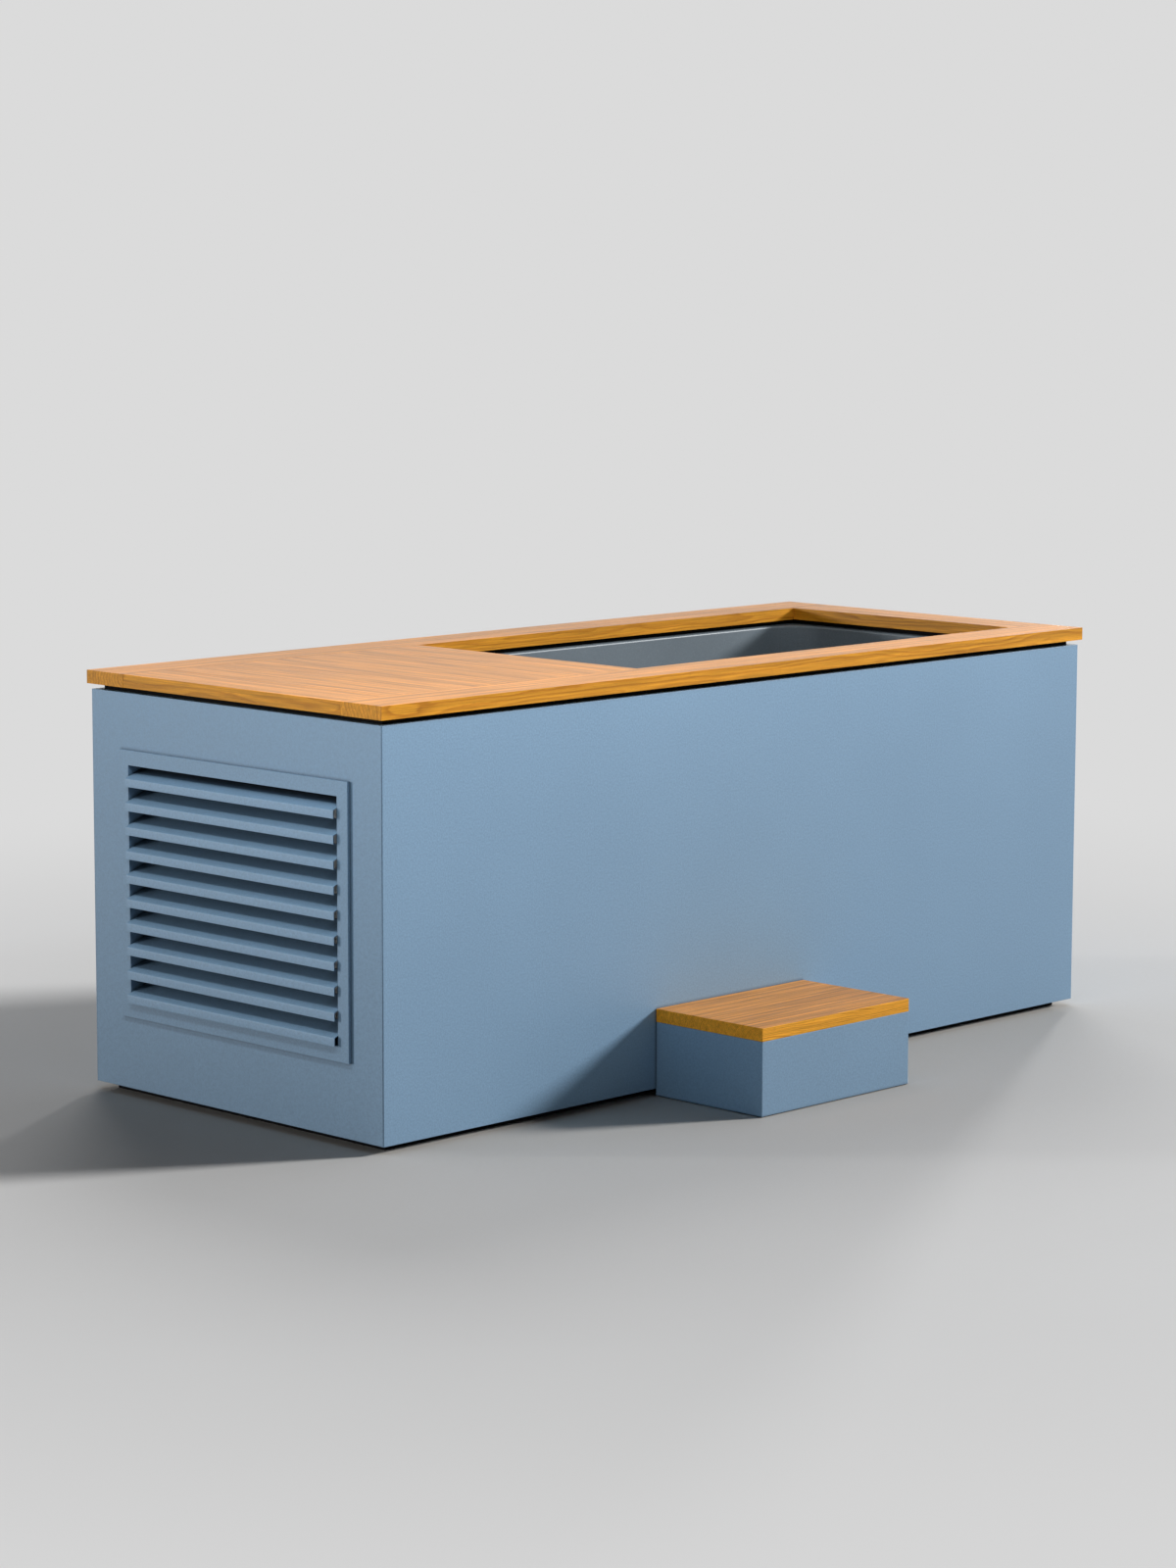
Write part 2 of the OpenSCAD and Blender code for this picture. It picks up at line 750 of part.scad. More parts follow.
module tub_liner() {
    rim_x0 = open_x0 - rim_w_bay;
    color(liner_grey) {
        difference() {
            union() {
                tub_space(liner_t, liner_z0, body_z1);
                block(rim_x0, rim_x1, -rim_y, rim_y, body_z1 - rim_t, body_z1);
            }
            tub_space(0, floor_z, body_z1 + cut);
            for (p = fittings)
                translate([liner_x0 - cut, p[0], p[1]]) hole_x(liner_t + 2 * cut, pipe_r + 0.3);
        }
        difference() {
            cove();
            for (p = fittings)
                translate([liner_x0 - cut, p[0], p[1]]) hole_x(floor_r + 2 * cut, pipe_r + 18);
        }
    }
}

module tub_insulation() {
    y1 = liner_y + seat + foam_t;
    z1 = top_z0 - 2;
    side = liner_y + seat;
    color(foam) {
        block(foam_x0, foam_x1, -y1, y1, pan_z1, liner_z0 - seat);
        for (s = [-1, 1])
            block(foam_x0, foam_x1, s > 0 ? side : -y1, s > 0 ? y1 : -side,
                  liner_z0, z1);
        block(liner_x1 + seat, foam_x1, -side + seat, side - seat, liner_z0, z1);
        difference() {
            block(foam_x0, liner_x0 - seat, -side + seat, side - seat, liner_z0, z1);
            for (p = [[bowl_y, suction_z], [lamp_y, return_z], [drain_y0, drain_z]])
                translate([foam_x0 - cut, p[0], p[1]]) hole_x(foam_t + 2 * cut, pipe_r + 0.5);
        }
    }
}

// A fitting through the liner and bulkhead, flange in the tub, tail in the bay; its mouth is
// open or has a strainer of narrow slots
module wall_fitting(y, z, strainer) {
    flange_t = 6;
    flange_r = pipe_r + 16;
    inner = pipe_r - pipe_t;
    slot_pitch = 5.4;
    translate([0, y, z]) difference() {
        union() {
            translate([tail_x, 0, 0]) hole_x(open_x0 + flange_t - tail_x, pipe_r);
            translate([open_x0 + 0.2, 0, 0]) hole_x(flange_t, flange_r);
        }
        translate([tail_x - cut, 0, 0])
            hole_x(open_x0 - tail_x + (strainer ? 0 : 2 * flange_t), inner);
        if (strainer) for (i = [-2 : 2]) {
            side = abs(i * slot_pitch) + strainer_slot / 2;
            h = sqrt(pow(inner - 1, 2) - pow(side, 2));
            block(open_x0 - 2, open_x0 + 2 * flange_t, i * slot_pitch - strainer_slot / 2,
                  i * slot_pitch + strainer_slot / 2, -h, h);
        }
    }
}

module suction_fitting() { color(dark) wall_fitting(bowl_y, suction_z, true); }
module return_fitting() { color(dark) wall_fitting(lamp_y, return_z, false); }
module drain_fitting() { color(dark) wall_fitting(drain_y0, drain_z, true); }

// Cooling unit

module cooling_tray() {
    color(steel) block(tray_x0, tray_x1, -tray_y, tray_y, pan_z1, tray_z1);
}

// Outline of a plate across the tubes, drawn from its lower front corner, with its holes
module coil_plate_outline(depth, z0, z1, inset) {
    difference() {
        translate([inset, z0]) square([depth - 2 * inset, z1 - z0]);
        for (i = [0 : coil_rows - 1])
            translate([depth / 2, coil_z0 + (i + 0.5) * coil_pitch]) circle(r = coil_tube_r + 0.2);
    }
}

// One plate that stands across the tubes, its lower Y face at y
module coil_plate(y, t, z0, z1, inset) {
    translate([coil_x0, y + t, 0]) rotate([90, 0, 0]) linear_extrude(height = t)
        coil_plate_outline(coil_t, z0, z1, inset);
}

// A serpentine tube with the fins threaded on it
module condenser_coil() {
    color(copper) translate([coil_x0 + coil_t / 2, 0, coil_z0]) {
        for (i = [0 : coil_rows - 1])
            translate([0, -coil_end_y, (i + 0.5) * coil_pitch]) hole_y(2 * coil_end_y, coil_tube_r);
        for (i = [0 : coil_rows - 2])
            translate([0, i % 2 == 0 ? coil_end_y : -coil_end_y, (i + 1) * coil_pitch])
                rotate([0, 90, 0]) rotate([0, 0, i % 2 == 0 ? 0 : 180])
                    rotate_extrude(angle = 180) translate([coil_pitch / 2, 0]) circle(r = coil_tube_r);
    }
    color(steel) for (i = [0 : fin_count - 1])
        coil_plate(-fin_y + i * fin_pitch - fin_t / 2, fin_t, coil_z0 + 2, coil_z1 - 2, 3);
}

module condenser_plates() {
    color(steel) for (y = [-coil_y, coil_y - plate_t]) coil_plate(y, plate_t, tray_z1, coil_z1, 0);
}

module fan_shroud() {
    r = fan_r + fan_gap;
    x1 = shroud_x0 + plate_t;
    color(dark) {
        difference() {
            union() {
                block(shroud_x0, x1, -coil_y, coil_y, tray_z1, coil_z1);
                translate([x1 - cut / 10, 0, louvre_zc]) hole_x(shroud_ring + cut / 10, r + plate_t);
            }
            translate([shroud_x0 - cut, 0, louvre_zc]) hole_x(shroud_x1 - shroud_x0 + 2 * cut, r);
        }
        for (s = [-1, 1])
            block(coil_x1 - 20, shroud_x0 + cut / 10, s > 0 ? coil_y + 0.3 : -coil_y - 2.3,
                  s > 0 ? coil_y + 2.3 : -coil_y - 0.3, tray_z1, coil_z0 + 20);
        for (s = [-1, 1])
            block(shroud_x0, x1, s > 0 ? coil_y - 0.1 : -coil_y - 2.3,
                  s > 0 ? coil_y + 2.3 : -coil_y + 0.1, tray_z1, coil_z0 + 20);
    }
}

// Four arms and a cup that carry the fan motor
module fan_bracket() {
    reach = fan_r + fan_gap + plate_t;
    color(steel) translate([0, 0, louvre_zc]) difference() {
        union() {
            for (a = [45 : 90 : 315]) rotate([a, 0, 0])
                block(shroud_x1 + 0.2, shroud_x1 + 0.2 + arm_t, -arm_w / 2, arm_w / 2, 0, reach);
            translate([shroud_x1 + 0.2, 0, 0]) hole_x(24, fan_motor_r + 4);
        }
        translate([shroud_x1 - cut, 0, 0]) hole_x(24 + 3 * cut, fan_motor_r + 0.1);
    }
}

module fan_motor() {
    color(dark) translate([fan_motor_x0, 0, louvre_zc]) difference() {
        hole_x(fan_motor_l, fan_motor_r);
        translate([-cut, 0, 0]) hole_x(30 + cut, fan_shaft_r + run_clear);
    }
}

module fan_rotor() {
    color(black) translate([0, 0, louvre_zc]) {
        translate([hub_x0, 0, 0]) hole_x(hub_l, hub_r);
        translate([hub_x1 - cut, 0, 0]) hole_x(fan_motor_x0 - hub_x1 + 25 + cut, fan_shaft_r);
        for (i = [0 : fan_blades - 1]) rotate([i * 360 / fan_blades, 0, 0])
            translate([hub_x0 + hub_l / 2, 0, 0]) rotate([0, 0, blade_pitch_angle])
                block(-blade_t / 2, blade_t / 2, -blade_chord / 2, blade_chord / 2,
                      hub_r * 0.7, sqrt(pow(fan_r, 2) - pow(blade_chord / 2, 2)));
    }
}

module compressor() {
    z0 = tray_z1 + mount_h;
    color(black) translate([comp_x, comp_y, z0]) {
        difference() {
            translate([-comp_foot / 2, -comp_foot / 2, 0]) cube([comp_foot, comp_foot, 4]);
            for (x = [-1, 1], y = [-1, 1]) translate([x * foot_pitch, y * foot_pitch, -cut])
                cylinder(h = 4 + 2 * cut, r = 6.2);
        }
        translate([0, 0, 3.9]) cylinder(h = comp_h - 44, r = comp_r);
        translate([0, 0, comp_h - 40.1]) cylinder(h = 26, r1 = comp_r, r2 = comp_r - 22);
        translate([0, 0, comp_h - 14.2]) cylinder(h = 8, r1 = comp_r - 22, r2 = comp_r - 50);
    }
}

// Rubber grommets with a waist that the compressor's foot sits in
module compressor_mounts() {
    color(black) for (x = [-1, 1], y = [-1, 1])
        translate([comp_x + x * foot_pitch, comp_y + y * foot_pitch, tray_z1]) {
            cylinder(h = mount_h, r = 12);
            translate([0, 0, mount_h - 0.1]) cylinder(h = 4.2, r = 6);
            translate([0, 0, mount_h + 4]) cylinder(h = 6, r = 10);
        }
}

module water_chiller() {
    color(pipe_grey) translate([chill_x, chill_y, tray_z1]) difference() {
        union() {
            cylinder(h = 12, r = chill_r + 12);
            cylinder(h = chill_h, r = chill_r);
            translate([0, 0, chill_h - 26]) cylinder(h = 18, r = chill_r + 8);
            translate([0, 0, chill_h - 0.1]) cylinder(h = port_l, r = port_r);
            translate([0, 0, chill_in_z - tray_z1]) hole_y(chill_r + port_l, port_r);
            for (z = [liquid_lift, gas_port]) translate([-chill_r - 10, 0, z]) hole_x(40, copper_r + 4);
        }
        translate([0, 0, 18]) cylinder(h = chill_h - 18 - 6, r = chill_r - 5);
        translate([0, 0, chill_h - 10]) cylinder(h = port_l + 12, r = pipe_r - pipe_t);
        translate([0, 0, chill_in_z - tray_z1]) hole_y(chill_r + port_l + cut, pipe_r - pipe_t);
    }
}

// Copper lines of the refrigerant loop, with round elbows

module discharge_line() {
    z_top = tray_z1 + mount_h + comp_h - 6;
    x = coil_x0 + coil_t / 2;
    y = coil_end_y + coil_pitch / 2 + coil_tube_r + copper_r + 4;
    z_in = coil_z1 - coil_pitch / 2;
    color(copper) route([[comp_x, comp_y, z_top], [comp_x, comp_y, z_top + 60],
        [comp_x, y, z_top + 60], [x, y, z_top + 60], [x, y, z_in],
        [x, coil_end_y + copper_gap, z_in]], copper_r);
}

module liquid_line() {
    x = coil_x0 + coil_t / 2;
    y = -coil_y - 34;
    z = coil_z0 + coil_pitch / 2;
    z1 = tray_z1 + liquid_lift;
    end_x = chill_x - chill_r - 10 - copper_gap;
    color(copper) {
        route([[x, -coil_end_y - copper_gap, z], [x, y, z], [end_x - liquid_room, y, z],
               [end_x - liquid_room, y, z1], [end_x - liquid_room, chill_y, z1],
               [end_x, chill_y, z1]], copper_r);
        rod([x + drier_in, y, z], [x + drier_in + drier_l, y, z], drier_r);
    }
}

module refrigerant_return() {
    end_x = chill_x - chill_r - 10 - copper_gap;
    z = tray_z1 + comp_port;
    z1 = tray_z1 + gas_port;
    color(copper) route([[end_x, chill_y, z1], [end_x - 14, chill_y, z1],
        [end_x - 14, chill_y, z], [end_x - 14, comp_y, z],
        [comp_x - comp_r - copper_gap, comp_y, z]], copper_r);
}

// Water circuit

// A ball valve along Y, its stem up, centred on the origin
module valve_body() {
    inner = pipe_r - pipe_t;
    difference() {
        union() {
            translate([0, -valve_l / 2, 0]) hole_y(valve_l, pipe_r + 3);
            translate([0, -valve_l / 4, 0]) hole_y(valve_l / 2, valve_r);
            cylinder(h = valve_r + stem_h, r = boss_r);
        }
        translate([0, -valve_l / 2 - cut, 0]) hole_y(valve_l + 2 * cut, inner);
        translate([0, 0, inner + 2]) cylinder(h = valve_r + stem_h, r = stem_r + run_clear);
    }
}

// The handle lies along the pipe when the valve is open, and across it when shut
module valve_handle() {
    z = valve_r + stem_h + seat;
    bar_y = handle_l / 2 - handle_w / 2 - 1;
    translate([0, 0, valve_r]) cylinder(h = stem_h + seat + handle_t, r = stem_r);
    translate([0, 0, z]) {
        cylinder(h = handle_t + 2, r = boss_r + 1);
        block(-handle_w / 2 + 1, handle_w / 2 - 1, -bar_y, bar_y, 0, handle_t);
        for (s = [-1, 1]) translate([0, s * bar_y, 0]) cylinder(h = handle_t, r = handle_w / 2 + 1);
    }
}

module suction_valve() {
    color(steel) translate([valve_x, bowl_y, suction_z]) rotate([0, 0, 90]) valve_body();
}

module suction_handle() {
    color(red) translate([valve_x, bowl_y, suction_z]) rotate([0, 0, 90]) valve_handle();
}

module return_valve() {
    color(steel) translate([valve_x, lamp_y, return_z]) rotate([0, 0, 90]) valve_body();
}

module return_handle() {
    color(red) translate([valve_x, lamp_y, return_z]) rotate([0, 0, 90]) valve_handle();
}

module filter_bowl() {
    inlet_l = valve_x - valve_l / 2 - seat - bowl_x;
    outlet_l2 = pump_y0 - seat - bowl_y;
    color(dark) translate([bowl_x, bowl_y, 0]) difference() {
        union() {
            translate([0, 0, bowl_z0]) cylinder(h = bowl_h, r = bowl_r);
            translate([0, 0, bowl_z1 - collar_h]) cylinder(h = collar_h, r = collar_r);
            translate([0, 0, suction_z]) hole_x(inlet_l, pipe_r);
            translate([0, 0, pump_z]) hole_y(outlet_l2, pipe_r);
        }
        translate([0, 0, bowl_z0 + bowl_t]) cylinder(h = bowl_h, r = bowl_r - bowl_t);
        translate([0, 0, suction_z]) hole_x(inlet_l + cut, pipe_r - pipe_t);
        translate([0, 0, pump_z]) hole_y(outlet_l2 + cut, pipe_r - pipe_t);
    }
}

// Pleated cartridge on a perforated core, with its two end caps
module filter_cartridge() {
    z0 = bowl_z0 + bowl_t + seat;
    h = bowl_h - bowl_t - 14;
    pleats = 24;
    color("white") translate([bowl_x, bowl_y, z0]) difference() {
        union() {
            cylinder(h = 10, r = cartridge_r);
            translate([0, 0, h - 10]) cylinder(h = 10, r = cartridge_r);
            cylinder(h = h, r = 34);
            for (a = [0 : pleats - 1]) rotate([0, 0, a * 360 / pleats])
                block(30, cartridge_r - 2, -1.5, 1.5, 5, h - 5);
        }
        translate([0, 0, -cut]) cylinder(h = h + 2 * cut, r = 26);
    }
}

module filter_lid() {
    z = bowl_z1 + seat;
    color(black) translate([bowl_x, bowl_y, 0]) {
        translate([0, 0, z]) cylinder(h = 12, r = collar_r);
        translate([0, 0, z + 11.9]) cylinder(h = lid_h - 12, r1 = collar_r - 8, r2 = collar_r - 30);
        translate([0, 0, bowl_z1 - 8]) cylinder(h = 10, r = bowl_r - bowl_t - 0.4);
        for (a = [0, 90]) rotate([0, 0, a])
            block(-collar_r + 14, collar_r - 14, -7, 7, z + 4, z + lid_h + 6);
        for (a = [0 : 60 : 300]) rotate([0, 0, a]) translate([collar_r - 3, 0, z])
            cylinder(h = 12, r = 9);
    }
}

module pump_housing() {
    out_z = pump_top_z + 16;
    color(dark) {
        difference() {
            union() {
                translate([pump_x, pump_y0, pump_z]) hole_y(volute_l, volute_r);
                translate([pump_x, riser_y, pump_z]) cylinder(h = out_z - pump_z, r = port_r);
                block(pump_x - 50, pump_x + 50, pump_y0 + 4, pump_y1 - 4, pan_z1, pump_z - 40);
            }
            translate([pump_x, pump_y0 + volute_t, pump_z])
                hole_y(volute_l - 2 * volute_t, volute_r - volute_t);
            translate([pump_x, pump_y0 - cut, pump_z]) hole_y(volute_t + 2 * cut, pipe_r - pipe_t);
            translate([pump_x, pump_y1 - volute_t - cut, pump_z])
                hole_y(volute_t + 2 * cut, pump_shaft_r + run_clear);
            translate([pump_x, riser_y, pump_z + 30])
                cylinder(h = out_z - pump_z, r = pipe_r - pipe_t);
        }
    }
}

module pump_impeller() {
    y0 = pump_y0 + volute_t + impeller_gap + 6;
    r = volute_r - volute_t - 6;
    color("white") translate([pump_x, y0, pump_z]) {
        translate([0, impeller_l, 0]) hole_y(4, r);
        translate([0, 0, 0]) hole_y(impeller_l + 4, 16);
        for (i = [0 : 5]) rotate([0, i * 60, 0]) translate([0, 4, 0]) rotate([0, 24, 0])
            block(10, r - 8, 0, impeller_l - 3.9, -1.5, 1.5);
        translate([0, impeller_l, 0]) hole_y(pump_y1 + 30 - y0 - impeller_l, pump_shaft_r);
    }
}

module pump_motor() {
    y0 = pump_y1 + seat;
    color(black) difference() {
        union() {
            translate([pump_x, y0, pump_z]) hole_y(pump_motor_l, pump_motor_r);
            for (i = [0 : 7]) rotate_about(pump_x, pump_z, i * 45)
                block(pump_x - 2, pump_x + 2, y0 + 14, y0 + pump_motor_l - 34,
                      pump_z + pump_motor_r - 2, pump_z + pump_motor_r + 6);
            block(pump_x - 44, pump_x + 44, y0 + 0.26 * pump_motor_l, y0 + 0.83 * pump_motor_l,
                  pan_z1, pump_z - 30);
            translate([pump_x, y0 + pump_motor_l - 30, pump_z]) hole_y(30, pump_motor_r + 5);
        }
        translate([pump_x, y0 - cut, pump_z]) hole_y(36 + cut, pump_shaft_r + run_clear);
    }
}

module rotate_about(x, z, a) {
    translate([x, 0, z]) rotate([0, a, 0]) translate([-x, 0, -z]) children();
}

module riser_pipe() {
    z0 = pump_top_z + 16 + seat;
    y1 = chill_y + chill_r + port_l + seat;
    color(pipe_grey) pipe([[pump_x, riser_y, z0], [pump_x, riser_y, chill_in_z],
        [chill_x, riser_y, chill_in_z], [chill_x, y1, chill_in_z]], pipe_r, pipe_t);
}

module crossover_pipe() {
    z0 = chill_z1 + port_l + seat - 0.1;
    x1 = lamp_x - lamp_r - port_l - seat;
    color(pipe_grey) pipe([[chill_x, chill_y, z0], [chill_x, chill_y, cross_z],
        [chill_x, lamp_y, cross_z], [x1, lamp_y, cross_z]], pipe_r, pipe_t);
}

module lamp_vessel() {
    inner = lamp_r - 3;
    out_l = valve_x - valve_l / 2 - seat - lamp_x;
    color(steel) translate([lamp_x, lamp_y, 0]) difference() {
        union() {
            translate([0, 0, lamp_z0]) cylinder(h = lamp_l, r = lamp_r);
            for (z = [lamp_z0, lamp_z1 - 14]) translate([0, 0, z])
                cylinder(h = 14, r = lamp_r + lamp_collar);
            translate([-lamp_r - port_l, 0, cross_z]) hole_x(lamp_r + port_l, port_r);
            translate([0, 0, return_z]) hole_x(out_l, pipe_r);
            translate([-lamp_foot / 2, -lamp_foot / 2, pan_z1])
                cube([lamp_foot, lamp_foot, lamp_z0 - pan_z1 + 4]);
        }
        translate([0, 0, lamp_z0 + 14]) cylinder(h = lamp_l - 28, r = inner);
        translate([-lamp_r - port_l - cut, 0, cross_z]) hole_x(port_l + 10, pipe_r - pipe_t);
        translate([lamp_r - 8, 0, return_z]) hole_x(out_l, pipe_r - pipe_t);
    }
}

module drain_pipe() {
    y1 = drain_valve_y0 - seat;
    color(pipe_grey) pipe([[tail_x - seat, drain_y0, drain_z], [drain_x, drain_y0, drain_z],
        [drain_x, y1, drain_z]], pipe_r, pipe_t);
}

// The drain valve carries the threaded outlet that stands out of the back panel
module drain_valve() {
    y1 = drain_valve_y0 + valve_l;
    color(steel) {
        translate([drain_x, drain_valve_y0 + valve_l / 2, drain_z]) valve_body();
        translate([drain_x, 0, drain_z]) difference() {
            union() {
                translate([0, y1 - 1, 0]) hole_y(half_w + outlet_l - y1 + 1, outlet_r);
                translate([0, in_w - 10, 0]) hole_y(10, outlet_r + 9);
            }
            translate([0, y1 - 2, 0]) hole_y(half_w + outlet_l - y1 + 2 + cut, pipe_r - pipe_t);
        }
    }
}

module drain_handle() {
    color(red) translate([drain_x, drain_valve_y0 + valve_l / 2, drain_z]) valve_handle();
}

// Controls

module control_box() {
    x0 = bulk_x0 - box_d;
    color(dark) difference() {
        block(x0, bulk_x0, box_y0, box_y1, box_z0, box_z1);
        block(x0 + box_wall, bulk_x0 - box_wall, box_y0 + box_wall, box_y1 - box_wall,
              box_z0 + box_wall, box_z1 - box_wall);
        block(x0 - cut, x0 + box_wall + cut, switch_y - switch_w / 2 - 2, switch_y + switch_w / 2 + 2,
              switch_z - 15, switch_z + 15);
    }
    color(dark) for (s = [-1, 1]) difference() {
        translate([0, switch_y + s * (switch_w / 2 + 2.5), 0])
            block(x0 + box_wall - 0.1, x0 + 9, -1.5, 1.5, switch_z - 4, switch_z + 4);
        translate([x0 + switch_in, switch_y - switch_w, switch_z])
            hole_y(2 * switch_w, switch_pin_r + run_clear);
    }
}

// A rocker switch on a pin that snaps into the box face
module power_switch() {
    x0 = bulk_x0 - box_d;
    color(red) translate([x0 + switch_in, switch_y, switch_z]) {
        rotate([90, 0, 0]) translate([0, 0, -switch_w / 2]) linear_extrude(height = switch_w)
            polygon([[-9, -12], [-7, 0], [-11, 12], [0, 12], [3, 0], [0, -12]]);
        translate([0, -switch_w / 2 - 3.5, 0]) hole_y(switch_w + 7, switch_pin_r);
    }
}

module power_inlet() {
    y0 = half_w;
    color(black) difference() {
        union() {
            block(inlet_x - 30, inlet_x + 30, y0, y0 + 4, inlet_z - 30, inlet_z + 30);
            block(inlet_x - 22, inlet_x + 22, y0 - 34, y0 + 0.1, inlet_z - 22, inlet_z + 22);
        }
        block(inlet_x - 17, inlet_x + 17, y0 - 22, y0 + 4 + cut, inlet_z - 14, inlet_z + 14);
    }
    color(steel) for (x = [-9, 0, 9])
        block(inlet_x + x - 2, inlet_x + x + 2, y0 - 23, y0 - 4, inlet_z - 3, inlet_z + 3);
}

// Step

module step_box() {
    t = sheet_t;
    color(coat) difference() {
        block(step_x0, step_x1, step_y0, step_y1, pad_h, step_box_z1);
        block(step_x0 + t, step_x1 - t, step_y0 + t, step_y1 - t, -cut, step_box_z1 - t);
    }
}

module step_tread() {
    color(timber) block(step_x0, step_x1, step_y0, step_y1, step_box_z1, step_h);
}

// Rubber blocks in the corners of the box that stand on the floor
module step_pads() {
    t = sheet_t;
    c = step_corner;
    color(black) for (x = [step_x0 + t, step_x1 - t - c], y = [step_y0 + t, step_y1 - t - c])
        block(x, x + c, y, y + c, 0, pad_h + 20);
}

plinth_bars();
base_rails();
frame_posts();
top_rails();
machine_pan();
bulkhead();
front_panel();
back_panel();
louvre_end_panel();
tub_end_panel();
louvre_frame();
louvre_blades();
spacer_bars();
front_rail();
back_rail();
tub_end_rail();
bay_end_rail();
rail_screws();
hatch_staves();
hatch_battens();
tub_liner();
tub_insulation();
suction_fitting();
return_fitting();
drain_fitting();
cooling_tray();
condenser_coil();
condenser_plates();
fan_shroud();
fan_bracket();
fan_motor();
fan_rotor();
compressor();
compressor_mounts();
water_chiller();
discharge_line();
liquid_line();
refrigerant_return();
suction_valve();
suction_handle();
filter_bowl();
filter_cartridge();
filter_lid();
pump_housing();
pump_impeller();
pump_motor();
riser_pipe();
crossover_pipe();
lamp_vessel();
return_valve();
return_handle();
drain_valve();
drain_handle();
drain_pipe();
control_box();
power_switch();
power_inlet();
step_box();
step_tread();
step_pads();
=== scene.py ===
import json
import math

import bmesh
import bpy
from bpy.props import FloatProperty, FloatVectorProperty, IntProperty, PointerProperty
from bpy.types import Operator, Panel, PropertyGroup
from mathutils import Matrix, Vector

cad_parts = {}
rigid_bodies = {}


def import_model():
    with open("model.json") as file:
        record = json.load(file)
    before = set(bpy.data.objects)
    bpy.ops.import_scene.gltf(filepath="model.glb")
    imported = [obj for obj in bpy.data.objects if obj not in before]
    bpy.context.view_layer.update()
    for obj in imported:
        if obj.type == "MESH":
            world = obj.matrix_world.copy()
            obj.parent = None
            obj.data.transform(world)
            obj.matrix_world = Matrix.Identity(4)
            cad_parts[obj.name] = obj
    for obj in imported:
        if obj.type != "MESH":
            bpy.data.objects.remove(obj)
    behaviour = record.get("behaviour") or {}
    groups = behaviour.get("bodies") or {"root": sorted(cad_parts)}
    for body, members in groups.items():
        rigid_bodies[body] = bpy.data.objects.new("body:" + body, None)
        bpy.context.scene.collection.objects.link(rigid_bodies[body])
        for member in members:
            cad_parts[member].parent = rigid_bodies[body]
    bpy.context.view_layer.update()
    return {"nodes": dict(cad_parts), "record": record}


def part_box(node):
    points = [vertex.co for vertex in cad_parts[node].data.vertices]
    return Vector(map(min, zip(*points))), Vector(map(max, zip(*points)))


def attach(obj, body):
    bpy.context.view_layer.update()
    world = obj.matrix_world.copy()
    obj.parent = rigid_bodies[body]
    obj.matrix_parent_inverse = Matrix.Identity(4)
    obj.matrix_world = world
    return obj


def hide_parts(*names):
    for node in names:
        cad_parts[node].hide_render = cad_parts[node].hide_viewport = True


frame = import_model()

bl_info = {
    "name": "Cold Plunge Tub",
    "version": (1, 0, 0),
    "blender": (4, 5, 0),
    "location": "View3D > Sidebar > Plunge Tub",
    "description": "Finishes for a plunge tub with a louvred machine bay, a timber top and a step",
    "category": "Object",
}

CAD_NODES = frame["nodes"]
RECORD = frame["record"]
BODY_OF = {n: body for body, nodes in RECORD["behaviour"]["bodies"].items() for n in nodes}
SLOT_OF = {part["node"]: part["material_slot"] for part in RECORD["subparts"]}

MERGE_DISTANCE = 2e-6
FLAT_ANGLE = math.radians(0.4)
EDGE_ANGLE = math.radians(30)
NEAR_AXIS = 1e-5
LAMP_DISTANCE = 6
WHITE = (1, 1, 1, 1)
DUST_COLOUR = (0.36, 0.34, 0.31)
Z_AXIS = Vector((0, 0, 1))

# Turns that lay a board's grain along X or along Y
ALONG_X = (0, 0, 0)
ALONG_Y = (0, 0, math.pi / 2)

# Cells per metre along, across and up a board, for each part of its figure
SWELL_CELLS = (2.6, 3, 24)
RIPPLE_CELLS = (13, 14, 60)
STREAK_CELLS = (3.0, 110, 110)
FIBRE_CELLS = (9, 420, 420)
PORE_CELLS = (70, 1500, 1500)

# Cells per metre along and across the lines that rolling or drawing leaves on metal
DRAWN_CELLS = (14, 900, 900)

# Radius of the eased edges in metres, segments of the round, and the CAD nodes that have it
EASED_EDGES = (
    (0.0004, 2, ("machine_pan", "condenser_plates", "discharge_line", "liquid_line",
                 "refrigerant_return")),
    (0.0005, 2, ("bulkhead",)),
    (0.0006, 2, ("spacer_bars", "plinth_bars", "cooling_tray", "riser_pipe", "crossover_pipe",
                 "drain_pipe")),
    (0.0008, 2, ("fan_bracket", "power_inlet")),
    (0.0008, 3, ("power_switch",)),
    (0.0009, 2, ("suction_valve", "return_valve", "drain_valve", "lamp_vessel")),
    (0.0010, 2, ("step_pads",)),
    (0.0012, 3, ("suction_fitting", "return_fitting", "drain_fitting", "fan_shroud",
                 "compressor_mounts")),
    (0.0014, 3, ("suction_handle", "return_handle", "drain_handle", "filter_bowl", "filter_lid",
                 "pump_housing", "pump_impeller", "pump_motor")),
    (0.0015, 2, ("tub_insulation",)),
    (0.0018, 3, ("base_rails", "frame_posts", "top_rails", "water_chiller")),
    (0.0022, 3, ("control_box",)),
    (0.0030, 3, ("fan_motor",)),
)
EDGE_OF = {node: (radius, segments) for radius, segments, nodes in EASED_EDGES for node in nodes}


def length(name, description, default):
    """A length in metres for a property group."""
    return FloatProperty(name=name, description=description, default=default,
                         unit="LENGTH", subtype="DISTANCE", precision=5)


def colour(name, description, default):
    """A colour for a property group."""
    return FloatVectorProperty(name=name, description=description, default=default,
                               subtype="COLOR", min=0, max=1)


def angle(name, description, degrees):
    """An angle for a property group, its default in degrees."""
    return FloatProperty(name=name, description=description, default=math.radians(degrees),
                         unit="ROTATION", subtype="ANGLE")


def level(name, description, default):
    """A plain number for a property group."""
    return FloatProperty(name=name, description=description, default=default, min=0)


